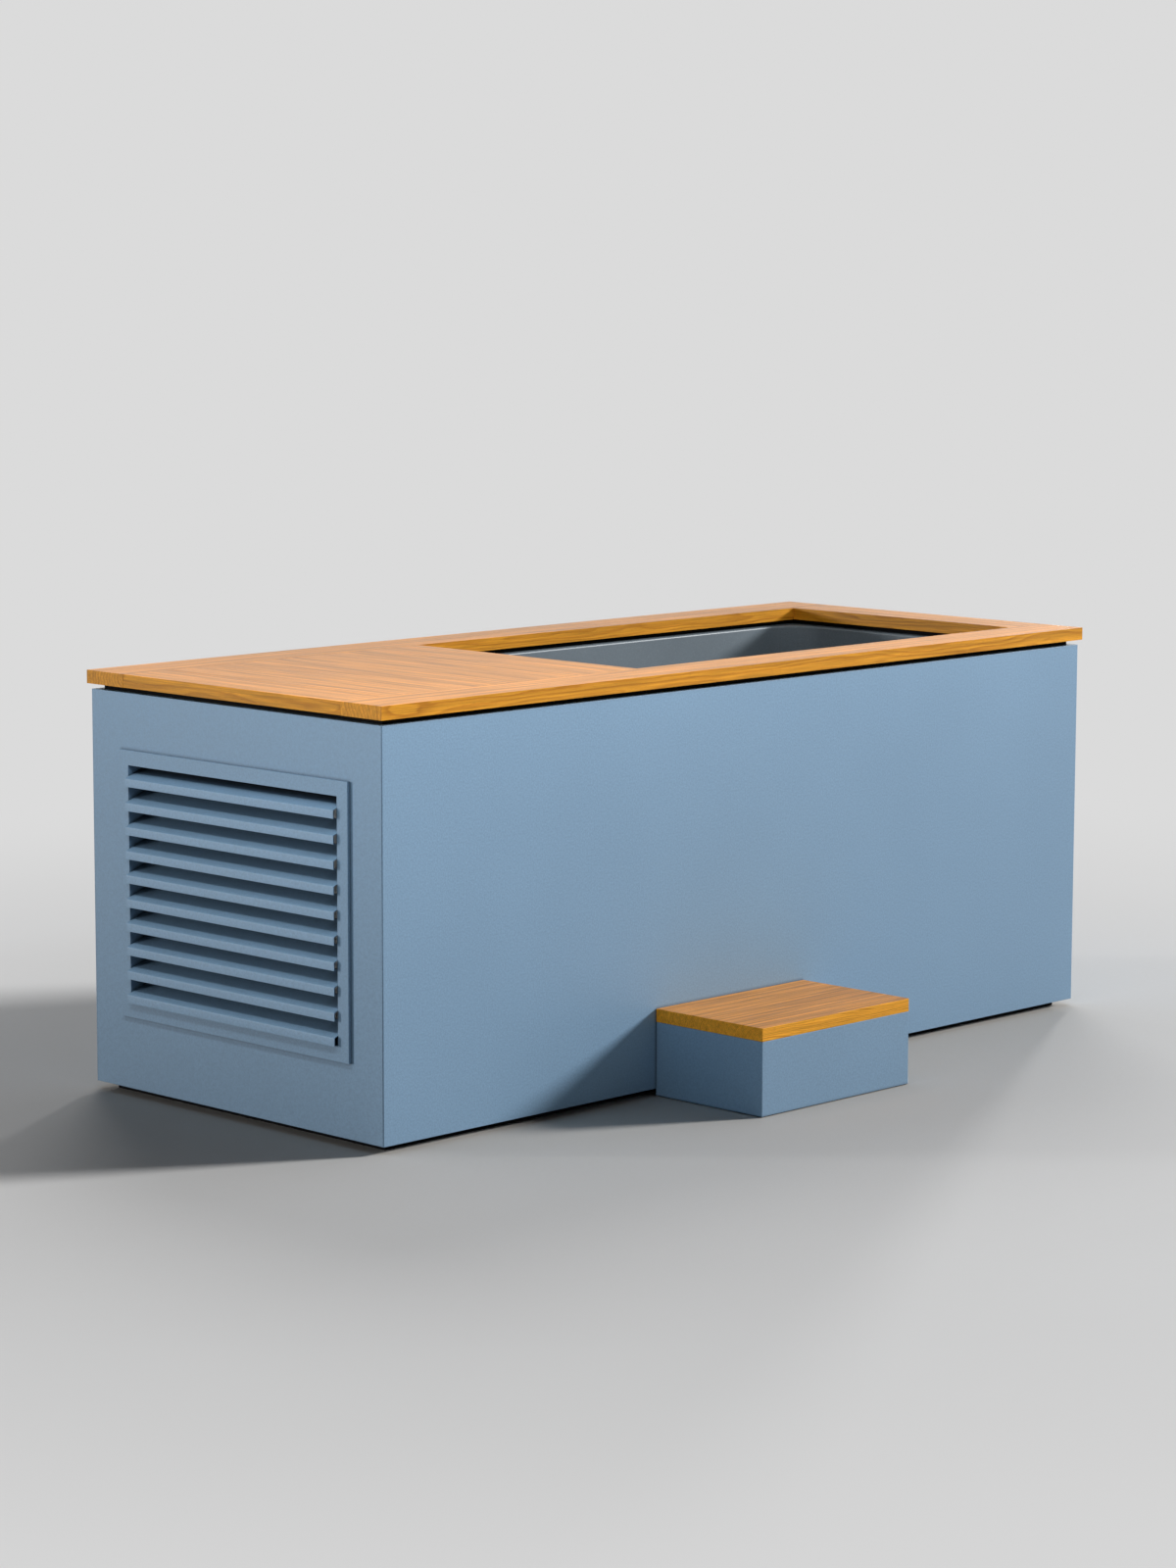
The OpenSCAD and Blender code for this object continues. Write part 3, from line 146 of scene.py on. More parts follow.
class CoatSettings(PropertyGroup):
    base: colour("Coat", "Colour of the powder coat", (0.183, 0.308, 0.448))
    lump: length("Lump size", "Size of the lumps in the powder coat", 0.0040)
    lump_height: length("Lump height", "Height of the lumps in the powder coat", 0.00018)
    roughness: level("Roughness", "Roughness of the powder coat", 0.50)
    tone: level("Tone", "How far the coat's tone drifts", 0.17)
    crease: length("Crease", "Reach of the shade in the coat's creases", 0.007)
    fold: length("Fold radius", "Radius of a folded or trimmed sheet edge", 0.0011)
    trim: length("Trim radius", "Radius of the thin louvre edges", 0.0004)


class TimberSettings(PropertyGroup):
    # The upper faces' tones are partly wear and partly painted light, a little darker and paler
    # than the sides; the tread's sides are painted light, much lighter than its top
    early: colour("Early wood", "Light part of a growth ring on the rim's sides",
                  (0.630, 0.275, 0.020))
    late: colour("Late wood", "Dark part of a growth ring on the rim's sides",
                 (0.410, 0.150, 0.008))
    top_early: colour("Top early wood", "Light part of a ring on the rim's dulled upper faces",
                      (0.580, 0.242, 0.045))
    top_late: colour("Top late wood", "Dark part of a ring on the rim's dulled upper faces",
                     (0.400, 0.140, 0.014))
    tread_early: colour("Tread early wood", "Light part of a ring on the tread's sides",
                        (0.880, 0.395, 0.030))
    tread_late: colour("Tread late wood", "Dark part of a ring on the tread's sides",
                       (0.520, 0.190, 0.010))
    tread_top_early: colour("Tread top early wood", "Light part of a ring on the tread's top",
                            (0.560, 0.235, 0.045))
    tread_top_late: colour("Tread top late wood", "Dark part of a ring on the tread's top",
                           (0.330, 0.115, 0.010))
    ring: length("Ring spacing", "Spacing of the growth rings", 0.0085)
    sway: length("Sway", "How far the rings sway along the board", 0.011)
    streak: level("Streak", "How far the streaks lighten and darken the wood", 0.74)
    fibre: level("Fibre", "How far the fibres lighten and darken the wood", 0.30)
    pore: level("Pore", "What the pores keep of the wood's colour", 0.72)
    edge: length("Edge radius", "Radius of the timber's eased edges", 0.0009)


class LinerSettings(PropertyGroup):
    base: colour("Liner", "Colour of the liner", (0.137, 0.173, 0.202))
    fleck: colour("Fleck", "Colour of the flecks in the liner", (0.250, 0.290, 0.315))
    fleck_size: length("Fleck size", "Size of the flecks", 0.0028)
    corner: length("Corner radius", "Radius of the liner's upright corners", 0.090)
    cove: length("Cove radius", "Radius between the liner's walls and floor", 0.040)
    lip: length("Lip radius", "Radius where the wall turns into the rim", 0.005)
    wall: length("Wall", "Thickness of the liner's wall", 0.006)


class LouvreSettings(PropertyGroup):
    blades: IntProperty(name="Blades", description="Number of louvre blades", default=10, min=2)
    lip: length("Lip height", "Height of a blade's upright lip", 0.0166)
    recess: length("Recess", "Reach of the shade between two blades", 0.060)
    sheet: length("Sheet", "Thickness of a blade's sheet", 0.0015)
    bend: length("Bend radius", "Outer radius of a blade's bend", 0.003)
    slope: angle("Slope", "Slope of a blade behind its lip", 22)


class BaySettings(PropertyGroup):
    staves: IntProperty(name="Staves", description="Staves of the lift-off hatch", default=6, min=1)
    stave_gap: length("Stave gap", "Gap between two staves", 0.0002)
    screws: IntProperty(name="Screws", description="Screws in one long rail", default=6, min=2)
    fins: IntProperty(name="Fins", description="Fins of the condenser", default=148, min=2)
    fin_sheet: length("Fin sheet", "Thickness of a condenser fin", 0.0006)
    coil_rows: IntProperty(name="Tube rows", description="Tube rows of the condenser",
                           default=9, min=1)
    tube: length("Tube radius", "Radius of the condenser's tube", 0.005)
    pleats: IntProperty(name="Pleats", description="Pleats of the filter cartridge",
                        default=72, min=3)
    fan_blades: IntProperty(name="Fan blades", description="Blades of the condenser fan",
                            default=5, min=2)


class StudioSettings(PropertyGroup):
    floor: colour("Floor", "Colour of the floor", (0.620, 0.620, 0.620))
    seen_gain: level("Seen gain", "How much lighter the floor is to the camera than to the tub",
                     1.35)
    # Colour of the painted shade on the floor close to the tub
    near_shade: colour("Near shade", "What the floor keeps of its colour close to the tub",
                       (0.66, 0.62, 0.57))
    near_reach: length("Near reach", "How far from the tub the floor is shaded", 1.6)
    backdrop: level("Backdrop", "Level of the pale background as the camera sees it", 0.708)
    dome: level("Dome", "Level of the soft light from all round", 0.03)
    fade_in: length("Fade start", "Distance at which the floor starts to turn into the backdrop",
                    1.5)
    fade_out: length("Fade end", "Distance at which the floor has become the backdrop", 4.2)


class CameraSettings(PropertyGroup):
    place: FloatVectorProperty(name="Place", description="Place of the camera",
                               subtype="TRANSLATION", unit="LENGTH",
                               default=(-6.1105, -5.9265, 1.7420))
    heading: angle("Heading", "Direction of the view from +X towards +Y", 44.4404)
    tilt: angle("Tilt", "Angle of the view below the horizon", 7.8926)
    roll: angle("Roll", "Turn of the picture", 0.1311)
    lens: FloatProperty(name="Lens", description="Focal length", default=93.02, unit="CAMERA")


def settings(name):
    """One of this add-on's property groups on the scene."""
    return getattr(bpy.context.scene, "plunge_" + name)


# Shader nodes

class Graph:
    """Adds nodes to one tree and links them."""

    def __init__(self, tree):
        self.tree = tree

    def add(self, kind, inputs=None, **values):
        """A node with its properties set, its inputs linked to sockets or set to values."""
        node = self.tree.nodes.new(kind)
        for key, value in values.items():
            setattr(node, key, value)
        for key, value in (inputs or {}).items():
            if isinstance(value, bpy.types.NodeSocket):
                self.tree.links.new(value, node.inputs[key])
            else:
                node.inputs[key].default_value = value
        return node

    def math(self, operation, first, second=0.0, third=0.0):
        """The result of one Math node."""
        node = self.add("ShaderNodeMath", {0: first, 1: second, 2: third}, operation=operation)
        return node.outputs[0]

    def vector(self, operation, first, second):
        """The result of one Vector Math node."""
        node = self.add("ShaderNodeVectorMath", {0: first, 1: second}, operation=operation)
        return node.outputs[0]

    def noise(self, vector, scale, detail=2.0, roughness=0.5):
        """A noise value of about 0.5 at a scale in cells per metre."""
        node = self.add("ShaderNodeTexNoise", {"Vector": vector, "Scale": scale, "Detail": detail,
                                               "Roughness": roughness})
        return node.outputs["Fac"]

    def span(self, value, low, high, to_low=0.0, to_high=1.0):
        """The value taken from one range to another and held inside it."""
        node = self.add("ShaderNodeMapRange", {"Value": value, "From Min": low, "From Max": high,
                                               "To Min": to_low, "To Max": to_high})
        return node.outputs["Result"]

    def mix(self, factor, first, second):
        """A blend of two colours."""
        node = self.add("ShaderNodeMix", {"Factor": factor}, data_type="RGBA")
        for socket, value in zip([s for s in node.inputs if s.type == "RGBA"], (first, second)):
            if isinstance(value, bpy.types.NodeSocket):
                self.tree.links.new(value, socket)
            else:
                socket.default_value = (*value[:3], 1)
        return next(s for s in node.outputs if s.type == "RGBA")

    def shade(self, tint, factor, spread):
        """A colour made lighter and darker by a value of about 0.5, by up to the spread."""
        return self.scaled(tint, self.span(factor, 0.2, 0.8, 1 - spread, 1 + spread))

    def scaled(self, tint, gain):
        """A colour times a value."""
        node = self.add("ShaderNodeVectorMath", {"Scale": gain}, operation="SCALE")
        if isinstance(tint, bpy.types.NodeSocket):
            self.tree.links.new(tint, node.inputs[0])
        else:
            node.inputs[0].default_value = tint[:3]
        return node.outputs[0]

    def group(self, tree, inputs):
        """One of the shared effects, placed with its own values."""
        return self.add("ShaderNodeGroup", inputs, node_tree=tree)

    def upward(self, low, high):
        """How far a face looks up: none at the low value of its normal's Z, all at the high one."""
        normal = self.add("ShaderNodeNewGeometry").outputs["Normal"]
        facing = self.add("ShaderNodeSeparateXYZ", {0: normal})
        return self.span(facing.outputs["Z"], low, high)

    def open_share(self, reach, samples):
        """The share of the space over a face that is free within a reach in metres."""
        node = self.add("ShaderNodeAmbientOcclusion", {"Distance": reach}, samples=samples)
        return node.outputs["AO"]


def shared_effect(name, inputs, outputs, build):
    """A shader node group that is made once."""
    tree = bpy.data.node_groups.get(name)
    if tree is None:
        tree = bpy.data.node_groups.new(name, "ShaderNodeTree")
        for label, default in inputs.items():
            kind = "NodeSocketVector" if label == "Vector" else "NodeSocketFloat"
            socket = tree.interface.new_socket(label, in_out="INPUT", socket_type=kind)
            if kind == "NodeSocketFloat":
                socket.default_value = default
        for label in outputs:
            tree.interface.new_socket(label, in_out="OUTPUT", socket_type="NodeSocketFloat")
        graph = Graph(tree)
        results = build(graph, graph.add("NodeGroupInput").outputs)
        graph.add("NodeGroupOutput", dict(zip(outputs, results)))
    return tree


def grain_effect():
    """Fine lumps, as of a powder coat or moulded plastic, with slow changes of tone."""
    def build(graph, given):
        per_metre = graph.math("DIVIDE", 1.0, given["Size"])
        lumps = graph.noise(given["Vector"], per_metre, 2.0, 0.55)
        coarse = graph.noise(given["Vector"], graph.math("MULTIPLY", per_metre, 0.27), 1.0)
        height = graph.math("MULTIPLY_ADD", coarse, 0.5, lumps)
        drift = graph.noise(given["Vector"], 2.3, 3.0, 0.6)
        slow_share = graph.math("SUBTRACT", 1.0, given["Fine tone"])
        slow = graph.math("MULTIPLY", drift, slow_share)
        tone = graph.math("MULTIPLY_ADD", lumps, given["Fine tone"], slow)
        return height, tone

    return shared_effect("surface_grain", {"Vector": None, "Size": 0.003, "Fine tone": 0.5},
                         ("Height", "Tone"), build)


def rings_effect():
    """Growth rings, fibres and pores of a board with its grain along X, centred on the origin."""
    def build(graph, given):
        board = given["Board"]
        shift = graph.add("ShaderNodeCombineXYZ", {0: graph.math("MULTIPLY", board, 7.3),
                                                   1: graph.math("MULTIPLY", board, 1.9),
                                                   2: graph.math("MULTIPLY", board, 3.1)})
        place = graph.vector("ADD", given["Vector"], shift.outputs[0])
        # The distance from the pith, swayed by a slow swell and a quicker ripple
        swell = graph.noise(graph.vector("MULTIPLY", place, SWELL_CELLS), 1.0, 1.5)
        ripple = graph.noise(graph.vector("MULTIPLY", place, RIPPLE_CELLS), 1.0, 2.0)
        sway = graph.math("MULTIPLY", graph.math("SUBTRACT", swell, 0.5),
                          graph.math("MULTIPLY", given["Sway"], 4.0))
        sway = graph.math("MULTIPLY_ADD", graph.math("SUBTRACT", ripple, 0.5),
                          graph.math("MULTIPLY", given["Sway"], 0.55), sway)
        axes = graph.add("ShaderNodeSeparateXYZ", {0: given["Vector"]})
        side = graph.math("ADD", axes.outputs["Y"], given["Pith Y"])
        rise = graph.math("ADD", axes.outputs["Z"], given["Pith Z"])
        radius = graph.math("SQRT", graph.math("ADD", graph.math("MULTIPLY", side, side),
                                               graph.math("MULTIPLY", rise, rise)))
        # The number of rings out from the pith, at a pace that drifts from year to year
        count = graph.math("DIVIDE", graph.math("ADD", radius, sway), given["Ring"])
        pace = graph.noise(graph.add("ShaderNodeCombineXYZ", {0: count}).outputs[0], 0.45, 2.0)
        count = graph.math("MULTIPLY_ADD", pace, 1.3, count)
        # A ring darkens slowly towards its late wood and ends sharply
        part = graph.math("FRACT", count)
        rise_part = graph.span(part, 0.15, 0.86)
        fall_part = graph.span(part, 0.90, 1.0, 1.0, 0.0)
        ring = graph.math("MULTIPLY", graph.math("POWER", rise_part, 1.6), fall_part)
        strength = graph.span(pace, 0.3, 0.7, 0.35, 1.0)
        ring = graph.math("MULTIPLY", ring, strength)
        fibre = graph.noise(graph.vector("MULTIPLY", place, FIBRE_CELLS), 1.0, 3.0, 0.6)
        streak = graph.noise(graph.vector("MULTIPLY", place, STREAK_CELLS), 1.0, 3.0, 0.65)
        cells = graph.noise(graph.vector("MULTIPLY", place, PORE_CELLS), 1.0, 1.0)
        pore = graph.span(cells, 0.63, 0.72)
        return ring, fibre, streak, pore

    inputs = {"Vector": None, "Board": 0.0, "Ring": 0.008, "Sway": 0.01, "Pith Y": 0.05,
              "Pith Z": 0.05}
    return shared_effect("growth_rings", inputs, ("Ring", "Fibre", "Streak", "Pore"), build)


def flecks_effect():
    """Small flecks of one size, spread evenly through a moulded surface."""
    def build(graph, given):
        per_metre = graph.math("DIVIDE", 1.0, given["Size"])
        cells = graph.add("ShaderNodeTexVoronoi", {"Vector": given["Vector"], "Scale": per_metre})
        near = graph.span(cells.outputs["Distance"], 0.15, 0.45, 1.0, 0.0)
        chosen = graph.add("ShaderNodeSeparateColor", {0: cells.outputs["Color"]})
        fleck = graph.math("MULTIPLY", near, graph.span(chosen.outputs[0], 0.45, 0.95))
        dark = graph.math("MULTIPLY", near, graph.span(chosen.outputs[1], 0.6, 0.95))
        return fleck, dark

    return shared_effect("flecks", {"Vector": None, "Size": 0.003}, ("Light fleck", "Dark fleck"),
                         build)


def drawn_effect():
    """Fine lines left by rolling, drawing or brushing along X, and cloudy tone."""
    def build(graph, given):
        lines = graph.noise(graph.vector("MULTIPLY", given["Vector"], DRAWN_CELLS), 1.0, 2.0)
        cloud = graph.noise(given["Vector"], graph.math("DIVIDE", 1.0, given["Cloud"]), 3.0, 0.6)
        return lines, cloud

    return shared_effect("drawn_lines", {"Vector": None, "Cloud": 0.08}, ("Lines", "Cloud"), build)


def top_wear_and_light_effect():
    """Upper faces, in patches: the mask for their own tones, which are partly wear and partly
    painted light, and for their stronger streaks.
    """
    def build(graph, given):
        patch = graph.span(graph.noise(given["Vector"], 6.0, 3.0, 0.6), 0.2, 0.8, 0.88, 1.0)
        return (graph.math("MULTIPLY", graph.upward(0.4, 0.9), patch),)

    return shared_effect("top_wear_and_painted_light", {"Vector": None}, ("Top wear and light",), build)


def dust_effect():
    """Dust that has settled on faces turned upwards."""
    def build(graph, given):
        patch = graph.span(graph.noise(given["Vector"], 22.0, 4.0, 0.65), 0.35, 0.75)
        lying = graph.math("MULTIPLY", graph.upward(0.35, 0.95), patch)
        return (graph.math("MULTIPLY", lying, given["Amount"]),)

    return shared_effect("settled_dust", {"Vector": None, "Amount": 0.3}, ("Dust",), build)


class Finish:
    """A material with one Principled shader, and the nodes that feed it."""

    def __init__(self, name, roughness, metallic=0.0, **constants):
        self.material = bpy.data.materials.new(name)
        self.material.use_nodes = True
        tree = self.material.node_tree
        tree.nodes.clear()
        self.graph = Graph(tree)
        self.shader = self.graph.add("ShaderNodeBsdfPrincipled",
                                     {"Roughness": roughness, "Metallic": metallic})
        for label, value in constants.items():
            self.shader.inputs[label.replace("_", " ")].default_value = value
        self.graph.add("ShaderNodeOutputMaterial", {"Surface": self.shader.outputs[0]})
        self.place = self.graph.add("ShaderNodeTexCoord").outputs["Object"]

    def turned(self, place, centre, turn):
        """A place measured from a centre and turned, in radians."""
        moved = self.graph.vector("SUBTRACT", place, tuple(centre))
        mapping = self.graph.add("ShaderNodeMapping", {"Vector": moved, "Rotation": tuple(turn)})
        return mapping.outputs[0]

    def feed(self, **values):
        """Links values to the shader's sockets, their names written with underscores."""
        for label, value in values.items():
            self.graph.tree.links.new(value, self.shader.inputs[label.replace("_", " ")])

    def bump(self, height, distance):
        """Raises the surface by a height value times a distance in metres."""
        node = self.graph.add("ShaderNodeBump", {"Height": height, "Distance": distance,
                                                 "Strength": 1.0})
        self.feed(Normal=node.outputs[0])

    def dusted(self, tint, rough, amount):
        """Feeds a colour and a roughness under settled dust, and gives the dust's mask."""
        inputs = {"Vector": self.place, "Amount": amount}
        settled = self.graph.group(dust_effect(), inputs).outputs["Dust"]
        self.feed(Base_Color=self.graph.mix(settled, tint, DUST_COLOUR),
                  Roughness=self.graph.math("MAXIMUM", rough, settled))
        return settled


FINISHES = {}


def finish(name, build, *given, **named):
    """A material by name, made the first time that it is asked for."""
    if name not in FINISHES:
        FINISHES[name] = build(name, *given, **named)
    return FINISHES[name]


def coat_finish(name, crease=None, darkest=0.25, clear=1.0, lift=1.0):
    """Fine-textured satin powder coat with painted shade in its creases.

    Its colour goes from the darkest gain in a tight crease to the lift where the open share has
    come to the clear value:
    painted shade in creases, and painted light where the lift is above one. The crease is the reach
    of that painted shade, if it isn't the coat's own.
    """
    coat = settings("coat")
    made = Finish(name, coat.roughness, Specular_IOR_Level=0.5)
    graph = made.graph
    grain = graph.group(grain_effect(), {"Vector": made.place, "Size": coat.lump, "Fine tone": 0.8})
    tint = graph.shade(coat.base, grain.outputs["Tone"], coat.tone)
    # Painted shade: the coat's colour darkens where little of the space over a face is open
    open_share = graph.open_share(crease or coat.crease, 8)
    shaded = graph.scaled(tint, graph.span(open_share, 0.2, clear, darkest, lift))
    made.feed(Base_Color=shaded,
              Roughness=graph.span(grain.outputs["Tone"], 0.3, 0.7, coat.roughness - 0.06,
                                   coat.roughness + 0.06))
    made.bump(grain.outputs["Height"], coat.lump_height)
    return made.material


def timber_finish(name, tones, centre, turn, pith, ring_scale=1.0, pitch=0.0):
    """Oiled hardwood with its grain along X before the turn.

    The tones are those of the sides, early and late, and of the upper faces, early and late. The
    pith is the place of the growth rings' centre beside and above the board's own centre, and the
    pitch spaces boards that share a mesh.
    """
    timber = settings("timber")
    early, late, top_early, top_late = tones
    made = Finish(name, 0.42, Specular_IOR_Level=0.16)
    graph = made.graph
    board = graph.add("ShaderNodeAttribute", attribute_name="board").outputs["Fac"]
    place = made.place
    if pitch:
        step = graph.add("ShaderNodeCombineXYZ", {0: graph.math("MULTIPLY", board, pitch)})
        place = graph.vector("SUBTRACT", place, step.outputs[0])
    # Steps of the golden share keep the figures of neighbouring boards apart
    seed = graph.math("FRACT", graph.math("MULTIPLY", board, 0.618))
    rings = graph.group(rings_effect(), {
        "Vector": made.turned(place, centre, turn),
        "Board": graph.math("ADD", seed, pith[0] * 31),
        "Ring": timber.ring * ring_scale, "Sway": timber.sway,
        "Pith Y": graph.math("MULTIPLY_ADD", seed, 0.05, pith[0]), "Pith Z": pith[1]})
    # The upper faces' tones differ from the sides' partly by wear and partly as painted light
    top_wear_and_light = graph.group(top_wear_and_light_effect(), {"Vector": made.place}).outputs["Top wear and light"]
    figure = rings.outputs["Ring"]
    tint = graph.mix(top_wear_and_light, graph.mix(figure, early, late), graph.mix(figure, top_early, top_late))
    centred = graph.math("SUBTRACT", rings.outputs["Streak"], 0.5)
    streak = graph.math("MULTIPLY_ADD", centred, graph.span(top_wear_and_light, 0.0, 1.0, 0.4, 1.0), 0.5)
    streaks = graph.shade(tint, streak, timber.streak)
    fibres = graph.shade(streaks, rings.outputs["Fibre"], timber.fibre)
    pores = graph.scaled(fibres, graph.span(rings.outputs["Pore"], 0.0, 1.0, 1.0, timber.pore))
    made.feed(Base_Color=pores,
              Roughness=graph.span(rings.outputs["Fibre"], 0.3, 0.7, 0.36, 0.48))
    relief = graph.math("MULTIPLY_ADD", rings.outputs["Pore"], -0.6, rings.outputs["Fibre"])
    made.bump(relief, 0.00008)
    return made.material


def liner_finish(name):
    """Moulded liner with a fine fleck and a satin skin."""
    liner = settings("liner")
    made = Finish(name, 0.42)
    graph = made.graph
    flecks = graph.group(flecks_effect(), {"Vector": made.place, "Size": liner.fleck_size})
    grain = graph.group(grain_effect(), {"Vector": made.place, "Size": 0.0022, "Fine tone": 0.4})
    tint = graph.shade(liner.base, grain.outputs["Tone"], 0.20)
    fleck_share = graph.math("MULTIPLY", flecks.outputs["Light fleck"], 0.55)
    light = graph.mix(fleck_share, tint, liner.fleck)
    dark = graph.scaled(light, graph.span(flecks.outputs["Dark fleck"], 0, 1, 1.0, 0.62))
    made.feed(Base_Color=dark, Roughness=graph.span(grain.outputs["Tone"], 0.3, 0.7, 0.36, 0.48))
    made.bump(grain.outputs["Height"], 0.00010)
    return made.material


def moulded_finish(name, base, roughness, size, dust, specular=0.5):
    """Moulded plastic, rubber, foam or enamel with a grain of one size and a little dust."""
    made = Finish(name, roughness, Specular_IOR_Level=specular)
    graph = made.graph
    grain = graph.group(grain_effect(), {"Vector": made.place, "Size": size, "Fine tone": 0.5})
    tint = graph.shade(base, grain.outputs["Tone"], 0.16)
    rough = graph.span(grain.outputs["Tone"], 0.3, 0.7, roughness - 0.07, roughness + 0.07)
    made.dusted(tint, rough, dust)
    made.bump(grain.outputs["Height"], 0.00004)
    return made.material


def metal_finish(name, base, roughness, cloud):
    """Bare metal with drawn lines along X, clouds of tone of one size and a little dust."""
    made = Finish(name, roughness, 1.0)
    graph = made.graph
    drawn = graph.group(drawn_effect(), {"Vector": made.place, "Cloud": cloud})
    clouded = graph.shade(base, drawn.outputs["Cloud"], 0.16)
    tint = graph.shade(clouded, drawn.outputs["Lines"], 0.06)
    rough = graph.span(drawn.outputs["Cloud"], 0.25, 0.75, roughness - 0.08, roughness + 0.1)
    settled = made.dusted(tint, rough, 0.2)
    made.feed(Metallic=graph.span(settled, 0, 1, 1.0, 0.0))
    made.bump(drawn.outputs["Lines"], 0.00003)
    return made.material


def copper_finish(name):
    """Drawn copper tube, darkened in patches."""
    made = Finish(name, 0.3, 1.0)
    graph = made.graph
    drawn = graph.group(drawn_effect(), {"Vector": made.place, "Cloud": 0.03})
    patch = graph.span(drawn.outputs["Cloud"], 0.42, 0.7)
    tint = graph.mix(patch, (0.78, 0.40, 0.24), (0.30, 0.13, 0.08))
    made.feed(Base_Color=tint, Roughness=graph.span(patch, 0, 1, 0.24, 0.52))
    made.bump(drawn.outputs["Lines"], 0.00002)
    return made.material


def paper_finish(name):
    """Pleated polyester filter cloth, felted and slightly soiled in patches."""
    made = Finish(name, 0.85)
    graph = made.graph
    felt = graph.noise(made.place, 900.0, 3.0, 0.7)
    stain = graph.span(graph.noise(made.place, 9.0, 3.0, 0.6), 0.35, 0.75, 0.0, 0.35)
    tint = graph.mix(stain, (0.80, 0.82, 0.84), (0.52, 0.50, 0.42))
    made.feed(Base_Color=graph.shade(tint, felt, 0.10))
    made.bump(felt, 0.00012)
    return made.material


# How each of the record's material slots is made. Metals give colour, roughness and the size of
# their clouds, and moulded finishes give colour, roughness, grain size, dust and specular level.
SLOT_FINISHES = {
    "blue_coat": (coat_finish,),
    "liner_gelcoat": (liner_finish,),
    "copper_line": (copper_finish,),
    "filter_pleat": (paper_finish,),
    "zinc_steel": (metal_finish, (0.52, 0.54, 0.57), 0.42, 0.03),
    "coil_aluminium": (metal_finish, (0.66, 0.67, 0.68), 0.34, 0.06),
    "stainless": (metal_finish, (0.60, 0.59, 0.57), 0.28, 0.12),
    "black_board": (moulded_finish, (0.004, 0.004, 0.005), 0.80, 0.0016, 0.0, 0.08),
    "foam_board": (moulded_finish, (0.62, 0.53, 0.30), 0.9, 0.004, 0.1),
    "dark_plastic": (moulded_finish, (0.030, 0.032, 0.036), 0.45, 0.0011, 0.3),
    "red_plastic": (moulded_finish, (0.50, 0.030, 0.020), 0.32, 0.0016, 0.12),
    "grey_pipe": (moulded_finish, (0.135, 0.145, 0.155), 0.38, 0.003, 0.3),
    "motor_black": (moulded_finish, (0.020, 0.020, 0.022), 0.34, 0.0022, 0.35),
    "chiller_jacket": (moulded_finish, (0.045, 0.046, 0.050), 0.78, 0.0028, 0.35),
    "fan_plastic": (moulded_finish, (0.018, 0.018, 0.019), 0.42, 0.0014, 0.25),
    "white_plastic": (moulded_finish, (0.72, 0.72, 0.69), 0.4, 0.0014, 0.1),
    "inlet_black": (moulded_finish, (0.018, 0.018, 0.020), 0.3, 0.0012, 0.0),
    "black_rubber": (moulded_finish, (0.018, 0.018, 0.018), 0.8, 0.0009, 0.2),
}


def slot_finish(slot):
    """The finish of one of the record's material slots."""
    return finish(slot, *SLOT_FINISHES[slot])


# Meshes

def linked(name, data):
    """A new object for a mesh, a lamp or a camera, in the scene."""
    made = bpy.data.objects.new(name, data)
    bpy.context.scene.collection.objects.link(made)
    return made


def whole_mesh(node):
    """A CAD node's mesh as a new one, its triangles joined and its flat faces whole."""
    source = CAD_NODES[node].data
    mesh = bpy.data.meshes.new(node + "_mesh")
    mesh.from_pydata([v.co for v in source.vertices], [], [p.vertices[:] for p in source.polygons])
    body = bmesh.new()
    body.from_mesh(mesh)
    bmesh.ops.remove_doubles(body, verts=body.verts, dist=MERGE_DISTANCE)
    bmesh.ops.dissolve_limit(body, angle_limit=FLAT_ANGLE, verts=body.verts, edges=body.edges)
    body.to_mesh(mesh)
    body.free()
    return mesh


def close_up(mesh, distance=MERGE_DISTANCE):
    """Joins a mesh's double points and turns its faces outwards."""
    body = bmesh.new()
    body.from_mesh(mesh)
    bmesh.ops.remove_doubles(body, verts=body.verts, dist=distance)
    bmesh.ops.recalc_face_normals(body, faces=body.faces)
    body.to_mesh(mesh)
    body.free()


def smooth(mesh, limit=EDGE_ANGLE):
    """Smooth shading, with a crease at every edge sharper than the limit."""
    mesh.shade_smooth()
    mesh.set_sharp_from_angle(angle=limit)


def ease_edges(piece, radius, segments=2):
    """Rounds a piece's sharp edges with a live Bevel modifier."""
    bevel = piece.modifiers.new("eased_edges", "BEVEL")
    bevel.width = radius
    bevel.segments = segments
    bevel.limit_method = "ANGLE"
    bevel.angle_limit = EDGE_ANGLE
    bevel.harden_normals = True


def settle(piece, nodes, material=None, slot=None):
    """Gives a piece its material and body, and lets it stand for its CAD nodes. The slot is not
    used.
    """
    first = nodes[0]
    if not piece.modifiers:
        shading = piece.modifiers.new("flat_faces", "WEIGHTED_NORMAL")
        shading.keep_sharp = True
    if material is not None:
        piece.data.materials.clear()
        piece.data.materials.append(material)
    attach(piece, BODY_OF[first])
    slot or SLOT_OF[first]
    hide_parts(*nodes)


def dress(node, radius, segments, material=None):
    """Stands a finer copy with eased edges in for one CAD node."""
    mesh = whole_mesh(node)
    smooth(mesh)
    piece = linked(node + "_dressed", mesh)
    ease_edges(piece, radius, segments)
    settle(piece, [node], material or slot_finish(SLOT_OF[node]))


def dress_each(*nodes):
    """Dresses CAD nodes by the table of eased edges."""
    for node in nodes:
        dress(node, *EDGE_OF[node])


def mesh_from(name, points, faces):
    """A mesh from points and faces, its normals turned outwards."""
    mesh = bpy.data.meshes.new(name)
    mesh.from_pydata([tuple(p) for p in points], [], faces)
    close_up(mesh)
    return mesh


